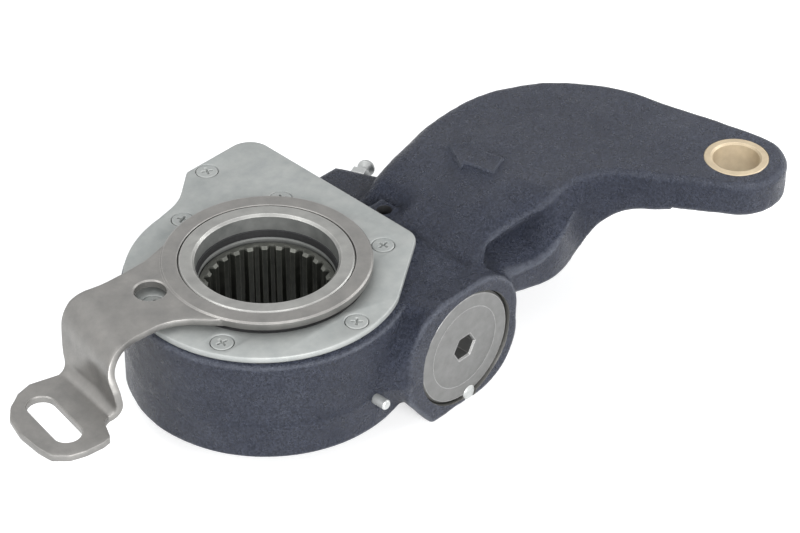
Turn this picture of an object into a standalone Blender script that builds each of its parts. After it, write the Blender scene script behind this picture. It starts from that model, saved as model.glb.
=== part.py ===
"""Automatic slack adjuster of a commercial vehicle's drum brake: lever casting, splined worm
wheel, worm, one-way clutch, rack, control disc with its arm, covers, seals and screws.

Frame: metres. The origin is on the camshaft spline's axis at the hub's lower face, +Z runs up
the spline, the worm lies parallel to Y and the lever reaches towards +X.
"""

from math import asin, atan2, cos, pi, radians, sin, sqrt, tan

import bmesh
import bpy
from mathutils import Vector

# Clearances
SEAT = 0.0003  # between pieces that are seated on each other
RUN = 0.0004  # between pieces that turn or slide
ROOM = 0.0007  # radial room round the gears

# Edges and cutters
EDGE = 0.0006  # chamfer on turned pieces
FINE_EDGE = 0.0004
PAST = 0.0010  # how far a cutter runs past the face it opens

# Camshaft spline in the worm wheel
SPLINE_TEETH = 26
SPLINE_MODULE = 0.0015
SPLINE_ROOT_DEPTH = 0.0017  # from the pitch circle outwards
SPLINE_TIP_DEPTH = 0.0002  # from the pitch circle inwards
SPLINE_LEAD = 0.0018

# Worm gear pair
WHEEL_TEETH = 24
AXIAL_PITCH = 0.00728
WORM_PITCH_R = 0.0112
GEAR_ADDENDUM = 0.0022
GEAR_DEDENDUM = 0.0026
GEAR_BACKLASH = 0.0005
FLANK_ANGLE = radians(20)
WHEEL_FACE = 0.0110
WORM_THREAD_LENGTH = 0.0330
WORM_HEIGHT = 0.0134  # worm axis above the hub's lower face

# Worm wheel
WHEEL_JOURNAL_WALL = 0.0044  # spline root to the lower journal
WHEEL_NECK_WALL = 0.0016  # spline root to the upper neck
WHEEL_SHOULDER = 0.0024  # casting floor to the lower side of the gear band
WHEEL_RECESS = 0.0012  # wheel's top below the hub's
WHEEL_RIM = 0.0012  # metal under the teeth at the band's edges
WHEEL_RIM_DIP = 0.0020
NECK_CONE = 0.0029  # height of the cone up to the neck
NECK_CONE_DROP = 0.0065  # start of that cone below the disc's recess
WHEEL_SEAL_WALL = 0.0016
WHEEL_SEAL_HEIGHT = 0.0020

# Casting
HUB_WALL = 0.0161
HUB_DRAFT = 0.0002
HUB_EDGE = 0.0008
LAND_HEIGHT = 0.0007
LAND_STEP = 0.0005
DECK_RIGHT = 0.0535
DECK_REAR = 0.0060
DECK_INSET = 0.0040  # from the boss's front and left
DECK_CORNER_R = 0.0030
BOSS_FRONT = 0.0520  # front face of the worm boss, towards -Y
BOSS_FLANGE = 0.0055
BOSS_STEP = 0.0014  # flange to the boss behind it
BOSS_BELOW_COVER = 0.0004
BOSS_ROUND_R = 0.0190
BOSS_LEFT_R = 0.0180
BOSS_CORNER_R = 0.0050
BOSS_FOOT_R = 0.0018
BOSS_SLANT = (0.0112, 0.0143)  # width and height of the slant at the lower left
BOSS_RIGHT = 0.0250
BOSS_LEFT = 0.0267
BOSS_TOP = 0.0236
BOSS_DROP = 0.0228
BOSS_BACK = 0.0200
BARREL_WALL = 0.0069
BARREL_REAR = 0.0592

# Lever arm
ARM_RISE = 0.0098  # top of the lever above the hub
ARM_START = 0.0500
ARM_RISE_END = 0.0880
ARM_FRONT = 0.0440
ARM_REAR = 0.0154
ARM_BOTTOM_RISE = 0.0016  # lever's underside above the worm's axis
EYE_THICKNESS = 0.0130
# How far the underside has come up from ARM_BOTTOM to the neck's, across the sections' middles
ARM_UNDERSIDE = (
    (0.0550, 0.28),
    (0.0660, 0.22),
    (0.0735, 0.11),
    (0.0810, 0.02),
    (0.0880, 0.00),
    (0.0920, 0.03),
    (0.0955, 0.14),
    (0.1008, 0.19),
    (0.1070, 0.29),
    (0.1170, 0.44),
    (0.1280, 0.61),
    (0.1340, 0.76),
    (0.1405, 0.93),
    (0.1452, 1.00),
)
ARM_EDGE_R = 0.0030
FLANGE_OUT = 0.0040
FLANGE_DROP = 0.0096  # top of the front flange below the hub's
FLANGE_LIP = 0.0006
SCOOP_DEPTH = 0.0058
SCOOP_START = 0.0550
SCOOP_END = 0.0965
SCOOP_FADE = 0.0120
FLANGE_FADE = 0.0160
FRONT_BEND = (0.0975, -0.0660)
FRONT_BEND_TURN = radians(57)
REAR_BEND = (0.1049, -0.0366)
REAR_BEND_TURN = radians(79)
EYE = (0.1481, -0.0741)
EYE_R = 0.0170
EYE_HOLE_R = 0.0110
BUSHING_BORE_R = 0.0080

# Pads on the casting
GREASE_PAD = ((0.050, 0.010), (0.050, 0.0345), (0.066, 0.0345), (0.0725, 0.020), (0.076, 0.010))
GREASE_PAD_DROP = 0.0052  # below the hub's top
GREASE_PAD_DEPTH = 0.0215
VENT_PAD = (0.0525, 0.0005)
VENT_PAD_SIDE = 0.0095
VENT_PAD_RISE = 0.0008
VENT_PAD_ROOT = 0.0040  # lower end above the worm's axis
VENT_HOLE_R = 0.0024
VENT_HOLE_DEPTH = 0.0110

# Cover plate, gasket and screws
PLATE_R = 0.0455
PLATE_RIGHT = 0.0468
PLATE_REAR = 0.0585
PLATE_THICKNESS = 0.0022
GASKET_THICKNESS = 0.0004
SCREW_CIRCLE_R = 0.0397
SCREW_ANGLES = (90, 39, -26.5, -89, -155, 160)
CORNER_SCREW = (0.0245, 0.0540)
LOBE_STEP = 0.0007  # casting outside the cover's edge
LOBE_SIDE = 0.0052  # corner screw to the lobe's left edge
LOBE_SWEEP = 0.0105  # width of the sweep from the lobe to the round part
SCREW_HEAD_R = 0.0043
SCREW_SHANK_R = 0.0024
SCREW_LENGTH = 0.0098
CROSS_LENGTH = 0.0048
CROSS_WIDTH = 0.0011
CROSS_DEPTH = 0.0013
COLLAR_SEAL_WALL = 0.0017

# Control disc, collar and arm
COLLAR_BORE_R = 0.0233
COLLAR_WALL = 0.0052
SHOULDER_WALL = 0.0020
COLLAR_RISE = 0.0088  # above the hub's top
DISC_THICKNESS = 0.0030
DISC_WALL = 0.0112  # collar bore to the disc's rim
NOTCH_DEPTH = 0.0062
NOTCH_PLAY = 0.0002
BORE_SEAL_HEIGHT = 0.0020
ARM_SHEET = 0.0030
RING_WIDTH = 0.0055
RING_STEP = 0.0004  # the ring stands this much above the sheet
CONTROL_AZIMUTH = radians(160)
BEND_TOP_U = 0.0570
BEND_TOP_R = 0.0080
FOOT_DROP = 0.0205  # foot's top below the collar's
BEND_FOOT_R = 0.0045
BEND_STEPS = 6
FLAT_STATIONS = (0.0300, 0.0345, 0.0400, 0.0460, 0.0520)
FOOT_STATIONS = (0.0740, 0.0780, 0.0820, 0.0860, 0.0890, 0.0915, 0.0930, 0.0940)
ARM_ROOT_INSET = 0.0020  # arm's root inside the ring's rim
ARM_ROOT_HOLLOW = 0.0060
ACCESS_HOLE = (0.0400, -0.0010)
ACCESS_HOLE_R = 0.0052
SLOT_CENTRE = (0.0826, 0.0214)
SLOT_LENGTH = 0.0250
SLOT_WIDTH = 0.0092
SLOT_TURN = radians(9.4)
# Edges of the control arm across u, as (u, v), on the flat and drop and then on the foot
ARM_LEFT = (
    (0.0260, -0.0222),
    (0.0350, -0.0164),
    (0.0445, -0.0130),
    (0.0520, -0.0106),
    (0.0620, -0.0088),
    (0.0660, -0.0085),
)
ARM_RIGHT = (
    (0.0260, 0.0236),
    (0.0345, 0.0180),
    (0.0400, 0.0164),
    (0.0445, 0.0165),
    (0.0540, 0.0187),
    (0.0600, 0.0212),
    (0.0660, 0.0240),
)
FOOT_LEFT = (
    (0.0650, -0.0085),
    (0.0700, -0.0030),
    (0.0760, 0.0004),
    (0.0820, 0.0022),
    (0.0860, 0.0034),
    (0.0890, 0.0056),
    (0.0915, 0.0088),
    (0.0930, 0.0120),
    (0.0940, 0.0160),
)
FOOT_RIGHT = (
    (0.0650, 0.0240),
    (0.0680, 0.0300),
    (0.0700, 0.0350),
    (0.0740, 0.0390),
    (0.0780, 0.0408),
    (0.0820, 0.0408),
    (0.0860, 0.0388),
    (0.0890, 0.0352),
    (0.0915, 0.0300),
    (0.0930, 0.0260),
    (0.0940, 0.0210),
)

# Rack and clutch ring
PINION_TEETH = 22
PINION_MODULE = 0.0010
PINION_BACKLASH = 0.00030
RACK_WIDTH = 0.0054
RACK_BODY = 0.00675  # from the tooth roots to the rack's top
RACK_Y = 0.0320
RACK_LEFT = -0.0050
RACK_TEETH_REACH = 0.0120  # first tooth from the worm's axis, towards the hub
RACK_END_REACH = 0.0110
RACK_TRAVEL_LEFT = 0.0078
RACK_TRAVEL_RIGHT = 0.0045
PEG_R = 0.0024
PEG_Y = 0.0315

# Pieces on the worm's axis, by their distance along +Y from the wheel's axis
CAP_FACE = -0.0512
CAP_THICKNESS = 0.0112
CAP_STEP = 0.0059  # cap's radius past the worm's bore
CAP_SOCKET_FLATS = 0.0080
CAP_SOCKET_DEPTH = 0.0070
CAP_RIM = 0.0070  # wall round the spring's recess
CAP_SPRING_RECESS = 0.0025
CAP_GROOVE_DEPTH = 0.0012
CAP_SEAL_WIDTH = 0.0020
SEAT_WASHER_THICKNESS = 0.0016
THRUST_THICKNESS = 0.0036
SPRING_WIRE_R = 0.0014
SPRING_COIL_R = 0.0096
SPRING_TURNS = 3.5
SHAFT_R = 0.0062
CONE_LENGTH = 0.0060
CONE_SMALL_R = 0.0078
CONE_LARGE_R = 0.0095
CLUTCH_FLANGE_ROOM = 0.0008
CLUTCH_FLANGE = 0.0090
CLUTCH_HUB_WALL = 0.0013
CLUTCH_WIRE_R = 0.0004
CLUTCH_TURNS = 4
THREAD_ROOM = 0.0002  # radial room of the worm in its bore
JOURNAL_NOSE = 0.0040  # worm's front end past the spring's seat
THREAD_RUN_OUT = 0.0008
BUSH_LENGTH = 0.0060
HEX_FLATS = 0.0100
HEX_LENGTH = 0.0100
HEX_SEAL_R = 0.0095
HEX_SEAL_LENGTH = 0.0040
HEX_SEAL_DEPTH = 0.0008  # seal's outer face below the barrel's end

# Pins and nipple
LOCK_PIN_R = 0.0020
LOCK_PIN_LENGTH = 0.0088
LOCK_PIN_OUT = 0.0004
LOCK_PIN_SIDE = 0.0025
STOP_PIN = (0.0014, 0.0120)
STOP_PIN_R = 0.0015
STOP_PIN_OUT = 0.0052
STOP_PIN_IN = 0.0075
NIPPLE_BELOW_PAD = 0.0050  # nipple's axis below the pad's top
NIPPLE_HEX_FLATS = 0.0080
NIPPLE_HEX_LENGTH = 0.0038
NIPPLE_THREAD_R = 0.0030
NIPPLE_THREAD_LENGTH = 0.0060
NIPPLE_NECK_R = 0.0020
NIPPLE_HEAD_R = 0.0031
NIPPLE_COLLAR = 0.0008
NIPPLE_OUT = 0.0118

# Sizes worked out from those above
CONE_GAP = SEAT * sqrt(2)  # radial gap that leaves SEAT across a 45 degree cone
WHEEL_PITCH_R = WHEEL_TEETH * AXIAL_PITCH / (2 * pi)
PINION_PITCH_R = PINION_TEETH * PINION_MODULE / 2
RACK_PITCH_Z = WORM_HEIGHT + PINION_PITCH_R
RACK_ROOT_Z = RACK_PITCH_Z + 1.25 * PINION_MODULE
RACK_TOP = RACK_ROOT_Z + RACK_BODY
RECESS_FLOOR = RACK_TOP
DISC_BOTTOM = RECESS_FLOOR + RUN
DISC_TOP = DISC_BOTTOM + DISC_THICKNESS
PLATE_BOTTOM = DISC_TOP + RUN
PLATE_TOP = PLATE_BOTTOM + PLATE_THICKNESS
HUB_HEIGHT = PLATE_BOTTOM - GASKET_THICKNESS - 2 * SEAT
WHEEL_TOP = HUB_HEIGHT - WHEEL_RECESS
WHEEL_FLOOR = WORM_HEIGHT - WHEEL_FACE / 2 - WHEEL_SHOULDER
ARM_TOP = HUB_HEIGHT + ARM_RISE
ARM_BOTTOM = WORM_HEIGHT + ARM_BOTTOM_RISE
ARM_NECK_BOTTOM = ARM_TOP - EYE_THICKNESS
FLANGE_TOP = HUB_HEIGHT - FLANGE_DROP
GREASE_PAD_TOP = HUB_HEIGHT - GREASE_PAD_DROP
GREASE_PAD_BOTTOM = GREASE_PAD_TOP - GREASE_PAD_DEPTH
NIPPLE_HEIGHT = GREASE_PAD_TOP - NIPPLE_BELOW_PAD
VENT_PAD_TOP = HUB_HEIGHT + VENT_PAD_RISE
COLLAR_TOP = HUB_HEIGHT + COLLAR_RISE
DROP_FOOT_Z = COLLAR_TOP - FOOT_DROP
WHEEL_TIP_R = WHEEL_PITCH_R + GEAR_ADDENDUM
WHEEL_ROOT_R = WHEEL_PITCH_R - GEAR_DEDENDUM
TOOTH_THICKNESS = AXIAL_PITCH / 2 - GEAR_BACKLASH
WORM_X = WHEEL_PITCH_R + WORM_PITCH_R
SPLINE_PITCH_R = SPLINE_TEETH * SPLINE_MODULE / 2
SPLINE_ROOT_R = SPLINE_PITCH_R + SPLINE_ROOT_DEPTH
SPLINE_TIP_R = SPLINE_PITCH_R - SPLINE_TIP_DEPTH
JOURNAL_R = SPLINE_ROOT_R + WHEEL_JOURNAL_WALL
NECK_R = SPLINE_ROOT_R + WHEEL_NECK_WALL
CAVITY_R = WHEEL_TIP_R + ROOM
HUB_R = CAVITY_R + HUB_WALL
DISC_R = COLLAR_BORE_R + DISC_WALL
RECESS_R = DISC_R + ROOM
COLLAR_R = COLLAR_BORE_R + COLLAR_WALL
SHOULDER_R = COLLAR_R + SHOULDER_WALL
RING_BOTTOM = COLLAR_TOP - ARM_SHEET
RING_IN_R = COLLAR_R + SEAT
RING_R = RING_IN_R + RING_WIDTH
BORE_FRONT = CAP_FACE + CAP_THICKNESS + SEAT
THREAD_HALF = WORM_THREAD_LENGTH / 2
JOURNAL_SMALL_R = CONE_SMALL_R - 0.0012  # worm journal inside the thrust bearing
PINION_TIP_R = PINION_PITCH_R + 0.9 * PINION_MODULE
WORM_BORE_R = max(WORM_PITCH_R + GEAR_ADDENDUM, PINION_TIP_R) + THREAD_ROOM
BARREL_R = WORM_BORE_R + BARREL_WALL
CAP_R = WORM_BORE_R + CAP_STEP
CAP_SPRING_RECESS_R = CAP_R - CAP_RIM
CLUTCH_FLANGE_R = WORM_BORE_R - CLUTCH_FLANGE_ROOM
RACK_TEETH_FROM = WORM_X - RACK_TEETH_REACH
RACK_RIGHT = WORM_X + RACK_END_REACH
THRUST_REAR = -THREAD_HALF - SEAT
THRUST_FRONT = THRUST_REAR - THRUST_THICKNESS
WASHER_REAR = THRUST_FRONT - SEAT
WASHER_FRONT = WASHER_REAR - SEAT_WASHER_THICKNESS
CONE_START = THREAD_HALF + RUN
CONE_END = CONE_START + CONE_LENGTH
FLANGE_START = CONE_START + SEAT
PINION_START = FLANGE_START + CLUTCH_FLANGE + RUN
PINION_END = RACK_Y + RACK_WIDTH / 2 + PAST
BUSH_START = PINION_END + RUN
BUSH_END = BUSH_START + BUSH_LENGTH


def material(name, colour, roughness, metallic):
    """Principled material of one piece."""
    made = bpy.data.materials.new(name)
    made.use_nodes = True
    shader = made.node_tree.nodes["Principled BSDF"]
    shader.inputs["Base Color"].default_value = (*colour, 1.0)
    shader.inputs["Roughness"].default_value = roughness
    shader.inputs["Metallic"].default_value = metallic
    made.diffuse_color = (*colour, 1.0)
    return made


def mesh_object(name, points, faces, parent=None):
    """Object of a closed mesh, its faces turned outwards and its round faces smooth."""
    mesh = bpy.data.meshes.new(name)
    mesh.from_pydata([Vector(p) for p in points], [], faces)
    work = bmesh.new()
    work.from_mesh(mesh)
    bmesh.ops.remove_doubles(work, verts=work.verts, dist=1e-7)
    bmesh.ops.recalc_face_normals(work, faces=work.faces)
    if work.calc_volume(signed=True) < 0:
        bmesh.ops.reverse_faces(work, faces=work.faces)
    work.to_mesh(mesh)
    work.free()
    mesh.shade_smooth()
    mesh.set_sharp_from_angle(angle=radians(32))
    made = bpy.data.objects.new(name, mesh)
    bpy.context.scene.collection.objects.link(made)
    made.parent = parent
    return made


def loft(name, rings, parent=None, around=False):
    """Skin over rings with the same number of points, capped at both ends or closed on itself."""
    count = len(rings[0])
    points = [p for ring in rings for p in ring]
    faces = []
    for i in range(len(rings) if around else len(rings) - 1):
        first, second = i * count, (i + 1) % len(rings) * count
        for j in range(count):
            k = (j + 1) % count
            faces.append((first + j, first + k, second + k, second + j))
    if not around:
        faces.append(tuple(range(count))[::-1])
        faces.append(tuple((len(rings) - 1) * count + j for j in range(count)))
    return mesh_object(name, points, faces, parent)


def prism(name, outline, low, high, parent=None):
    """A flat outline extruded along Z."""
    return loft(name, [[(x, y, z) for x, y in outline] for z in (low, high)], parent)


def turned(name, profile, parent=None, steps=64, start=0.0):
    """A closed (radius, height) profile turned about Z. A point at radius 0 lies on the axis."""
    points, index = [], []
    for radius, height in profile:
        index.append(len(points))
        if radius == 0:
            points.append((0, 0, height))
            continue
        for j in range(steps):
            turn = start + 2 * pi * j / steps
            points.append((radius * cos(turn), radius * sin(turn), height))
    faces = []
    for i, (radius, _) in enumerate(profile):
        after = (i + 1) % len(profile)
        if radius == 0 and profile[after][0] == 0:
            continue
        for j in range(steps):
            k = (j + 1) % steps
            a, b = index[i], index[after]
            if radius == 0:
                faces.append((a, b + j, b + k))
            elif profile[after][0] == 0:
                faces.append((a + j, b, a + k))
            else:
                faces.append((a + j, b + j, b + k, a + k))
    return mesh_object(name, points, faces, parent)


def ring(name, inner, outer, low, high, parent=None, steps=64):
    """A plain ring."""
    return turned(
        name, [(inner, low), (outer, low), (outer, high), (inner, high)], parent, steps
    )


def cylinder(name, radius, low, high, parent=None, steps=48, centre=(0, 0)):
    """A plain round solid whose axis is parallel to Z."""
    made = turned(name, [(0, low), (radius, low), (radius, high), (0, high)], parent, steps)
    made.location.xy = centre
    return made


def coil(name, profile, coil_r, pitch, turns, low, parent=None, steps=24, phase=0.0):
    """A closed (radial, axial) profile swept along a helix about Z."""
    sections = []
    for i in range(int(round(steps * turns)) + 1):
        turn = 2 * pi * i / steps
        lift = low + pitch * i / steps
        sections.append(
            [
                ((coil_r + r) * cos(turn + phase), (coil_r + r) * sin(turn + phase), lift + h)
                for r, h in profile
            ]
        )
    return loft(name, sections, parent)


def round_profile(radius, sides):
    """A circle of that many sides."""
    turns = [2 * pi * j / sides for j in range(sides)]
    return [(radius * cos(turn), radius * sin(turn)) for turn in turns]


def regular(flats, sides=6):
    """A regular polygon by the distance across its flats."""
    return round_profile(flats / 2 / cos(pi / sides), sides)


def box_outline(length, width):
    """A rectangle about the origin."""
    x, y = length / 2, width / 2
    return [(-x, -y), (x, -y), (x, y), (-x, y)]


def arc(centre, radius, start, end, count):
    """Points along an arc, its angles in radians."""
    return [
        (
            centre[0] + radius * cos(start + (end - start) * j / count),
            centre[1] + radius * sin(start + (end - start) * j / count),
        )
        for j in range(count + 1)
    ]


def rounded(corners, step=radians(15)):
    """An outline of (x, y, radius) corners, each replaced by its fillet arc. Radius 0 stays a point."""
    outline = []
    for i, (x, y, radius) in enumerate(corners):
        if radius == 0:
            outline.append((x, y))
            continue
        here = Vector((x, y))
        back = (Vector(corners[i - 1][:2]) - here).normalized()
        ahead = (Vector(corners[(i + 1) % len(corners)][:2]) - here).normalized()
        half = back.angle(ahead) / 2
        middle = here + (back + ahead).normalized() * radius / sin(half)
        first = here + back * radius / tan(half) - middle
        last = here + ahead * radius / tan(half) - middle
        turn = first.angle(last)
        if first.x * last.y - first.y * last.x < 0:
            turn = -turn
        begin = atan2(first.y, first.x)
        outline += arc(middle, radius, begin, begin + turn, max(2, int(abs(turn) / step) + 1))
    return outline


def combine(target, others, operation):
    """Boolean of the target with each of the others, which stay as hidden guides."""
    for other in others:
        modifier = target.modifiers.new(other.name, "BOOLEAN")
        modifier.operation = operation
        modifier.object = other
        modifier.solver = "EXACT"
        other.hide_render = True
        other.display_type = "WIRE"
    return target


def cut(target, *others):
    return combine(target, others, "DIFFERENCE")


def add(target, *others):
    return combine(target, others, "UNION")


def finish(target, look):
    target.data.materials.clear()
    target.data.materials.append(look)
    return target


def axis_empty(name, location, rotation=(0, 0, 0)):
    """An empty that carries the pieces of one axis."""
    made = bpy.data.objects.new(name, None)
    made.location = location
    made.rotation_euler = rotation
    made.empty_display_size = 0.02
    bpy.context.scene.collection.objects.link(made)
    return made


def plate_outline(grow=0.0, whole=True):
    """Plan of the cover: a circle round the hub, a straight edge beside the lever and a rear lobe."""
    radius = PLATE_R + grow
    front = radians(-65)
    rear = radians(-266)
    circle = [(x, y, 0) for x, y in arc((0, 0), radius, front, rear, 26 if whole else 1)]
    right, back = PLATE_RIGHT + grow, PLATE_REAR + grow
    lobe_left = CORNER_SCREW[0] - LOBE_SIDE - grow
    return rounded(
        [
            (right, -radius * 0.51, 0.0070),
            *circle,
            (lobe_left - LOBE_SWEEP, radius + 0.0008, 0.0100),
            (lobe_left, back, 0.0028),
            (right, back, 0.0080),
        ]
    )


def arm_edges():
    """Front and rear points of the lever's stations in plan, from its root to the eye."""
    front_r = -ARM_FRONT - FRONT_BEND[1]
    rear_r = ARM_REAR - REAR_BEND[1]
    stations = []
    for share in (0, 0.17, 0.34, 0.53, 0.72, 0.84):
        x = ARM_START + share * (FRONT_BEND[0] - ARM_START)
        rear_x = ARM_START + share * (REAR_BEND[0] - ARM_START)
        stations.append(((x, -ARM_FRONT), (rear_x, ARM_REAR)))
    count = 8
    for i in range(count + 1):
        front = pi / 2 - FRONT_BEND_TURN * i / count
        rear = pi / 2 - REAR_BEND_TURN * i / count
        stations.append(
            (
                (FRONT_BEND[0] + front_r * cos(front), FRONT_BEND[1] + front_r * sin(front)),
                (REAR_BEND[0] + rear_r * cos(rear), REAR_BEND[1] + rear_r * sin(rear)),
            )
        )
    front_touch = pi / 2 - FRONT_BEND_TURN + pi
    rear_touch = pi / 2 - REAR_BEND_TURN
    inner = EYE_R - FINE_EDGE
    last = (
        (EYE[0] + inner * cos(front_touch), EYE[1] + inner * sin(front_touch)),
        (EYE[0] + inner * cos(rear_touch), EYE[1] + inner * sin(rear_touch)),
    )
    before = stations[-1]
    for share in (0.35, 0.7, 1.0):
        stations.append(
            tuple(
                (a[0] + (b[0] - a[0]) * share, a[1] + (b[1] - a[1]) * share)
                for a, b in zip(before, last)
            )
        )
    return stations


def ease(share):
    """Smooth step from 0 to 1."""
    share = min(1.0, max(0.0, share))
    return share * share * (3 - 2 * share)


def arm_section(front, rear):
    """One upright section of the lever: round edges, and on the front a scoop above a flange."""
    front, rear = Vector(front), Vector(rear)
    across = (front - rear).normalized()
    middle = (front.x + rear.x) / 2
    rise = min(1.0, max(0.0, (middle - ARM_START) / (ARM_RISE_END - ARM_START)))
    low_top = HUB_HEIGHT - SEAT
    top = low_top + (ARM_TOP - low_top) * (1 - (1 - rise) ** 2)
    drop = interpolate(ARM_UNDERSIDE, middle)
    bottom = ARM_BOTTOM + (ARM_NECK_BOTTOM - ARM_BOTTOM) * drop
    scoop = ease((SCOOP_END - front.x) / SCOOP_FADE) * ease((front.x - SCOOP_START) / SCOOP_FADE)
    out = FLANGE_OUT * ease((SCOOP_END + FLANGE_FADE - SCOOP_FADE - front.x) / FLANGE_FADE)
    edge = min(ARM_EDGE_R, (top - bottom) * 0.22)
    flange = min(FLANGE_TOP, top - 3 * edge)
    flange = max(flange, bottom + 2 * edge)
    bevel = [(edge * (1 - sin(a)), edge * (1 - cos(a))) for a in (0, pi / 4, pi / 2)]
    side = []
    for inward, down in bevel:
        side.append((-inward, top - down))
    brow = top - edge - 0.06 * (top - edge - flange)
    side.append((0.0, brow))
    for share in (0.3, 0.6, 0.85):
        dip = sin(pi * share) ** 0.7
        side.append((-SCOOP_DEPTH * scoop * dip + out * share**3, brow + (flange - brow) * share))
    side.append((out, flange - FLANGE_LIP))
    for inward, up in bevel[::-1]:
        side.append((out - inward, bottom + up))
    points = []
    for offset, height in side:
        place = front + across * offset
        points.append((place.x, place.y, height))
    for inward, up in bevel:
        place = rear + across * inward
        points.append((place.x, place.y, bottom + up))
    for inward, down in bevel[::-1]:
        place = rear + across * inward
        points.append((place.x, place.y, top - down))
    return points


def lever_arm():
    """The hooked lever, lofted over its stations, with the eye at its end."""
    arm = loft("arm_web", [arm_section(front, rear) for front, rear in arm_edges()])
    edge = ARM_EDGE_R
    profile = [(0, ARM_NECK_BOTTOM)]
    for a in (0, pi / 6, pi / 3, pi / 2):
        profile.append((EYE_R - edge * (1 - sin(a)), ARM_NECK_BOTTOM + edge * (1 - cos(a))))
    for a in (pi / 2, pi / 3, pi / 6, 0):
        profile.append((EYE_R - edge * (1 - sin(a)), ARM_TOP - edge * (1 - cos(a))))
    profile.append((0, ARM_TOP))
    eye = turned("arm_eye", profile, steps=36, start=0.03)
    eye.location.xy = EYE
    return arm, eye


def boss_outline(inset=0.0):
    """Front view of the worm boss about the worm axis, as (x, -z). Behind the flange it stays
    below the cover."""
    cover = WORM_HEIGHT - HUB_HEIGHT + BOSS_BELOW_COVER if inset else -BOSS_TOP
    right, left = BOSS_RIGHT - inset, -BOSS_LEFT + inset
    top, bottom = -BOSS_TOP + inset, BOSS_DROP - inset
    top = max(top, cover)
    return rounded(
        [
            (right, top, BOSS_ROUND_R),
            (left, top, BOSS_LEFT_R),
            (left, BOSS_DROP - BOSS_SLANT[1] - inset, BOSS_CORNER_R),
            (left + BOSS_SLANT[0], bottom, BOSS_FOOT_R),
            (right, bottom, BOSS_ROUND_R),
        ]
    )


def screw_places():
    """Where the cover's screws stand: on their circle, and one in the lobe's corner."""
    turns = [radians(angle) for angle in SCREW_ANGLES]
    places = [(SCREW_CIRCLE_R * cos(turn), SCREW_CIRCLE_R * sin(turn)) for turn in turns]
    return [*places, CORNER_SCREW]


def nipple_axis():
    """Empty in the middle of the grease pad's slanted face with its Z pointing out of it."""
    (x0, y0), (x1, y1) = GREASE_PAD[2], GREASE_PAD[3]
    place = ((x0 + x1) / 2, (y0 + y1) / 2, NIPPLE_HEIGHT)
    return axis_empty("nipple_axis", place, (0, pi / 2, atan2(x1 - x0, y0 - y1)))


def build_housing(worm_axis, stop_axis, nipple_root, paint):
    """The casting: hub, worm boss, barrel, lever, eye and pads in one, with its bores."""
    hub_low = HUB_R - HUB_DRAFT
    housing = turned(
        "housing",
        [
            (0, 0),
            (hub_low - LAND_STEP, 0),
            (hub_low - LAND_STEP, LAND_HEIGHT),
            (hub_low, LAND_HEIGHT + EDGE),
            (HUB_R, HUB_HEIGHT - HUB_EDGE),
            (HUB_R - HUB_EDGE, HUB_HEIGHT),
            (0, HUB_HEIGHT),
        ],
        steps=52,
    )
    lobe = prism("lobe", plate_outline(LOBE_STEP, whole=False), WORM_HEIGHT, HUB_HEIGHT - 0.00005)
    left, front = WORM_X - BOSS_LEFT + DECK_INSET, -BOSS_FRONT + DECK_INSET
    deck = prism(
        "deck",
        rounded(
            [
                (left, front, 0.0),
                (DECK_RIGHT, front, 0.0),
                (DECK_RIGHT, DECK_REAR, DECK_CORNER_R),
                (left, DECK_REAR, 0.0),
            ]
        ),
        WORM_HEIGHT + PAST,
        HUB_HEIGHT - 0.00011,
    )
    flange = prism("boss_flange", boss_outline(), -BOSS_FRONT, -BOSS_FRONT + BOSS_FLANGE, worm_axis)
    flange_middle = -BOSS_FRONT + BOSS_FLANGE / 2
    boss = prism("boss", boss_outline(BOSS_STEP), flange_middle, -BOSS_BACK, worm_axis)
    barrel = cylinder("barrel", BARREL_R, -BOSS_BACK - BOSS_FLANGE, BARREL_REAR, worm_axis, 36)
    arm, eye = lever_arm()
    pad = prism("grease_pad", GREASE_PAD, GREASE_PAD_BOTTOM, GREASE_PAD_TOP)
    half = VENT_PAD_SIDE / 2
    left = max(VENT_PAD[0] - half, PLATE_RIGHT + SEAT)
    vent_pad = prism(
        "vent_pad",
        [
            (left, VENT_PAD[1] - half),
            (VENT_PAD[0] + half, VENT_PAD[1] - half),
            (VENT_PAD[0] + half, VENT_PAD[1] + half),
            (left, VENT_PAD[1] + half),
        ],
        WORM_HEIGHT + VENT_PAD_ROOT,
        VENT_PAD_TOP,
    )
    add(housing, lobe, deck, boss, flange, barrel, arm, eye, pad, vent_pad)
    cut_housing(housing, worm_axis, stop_axis, nipple_root)
    return finish(housing, paint)


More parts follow.
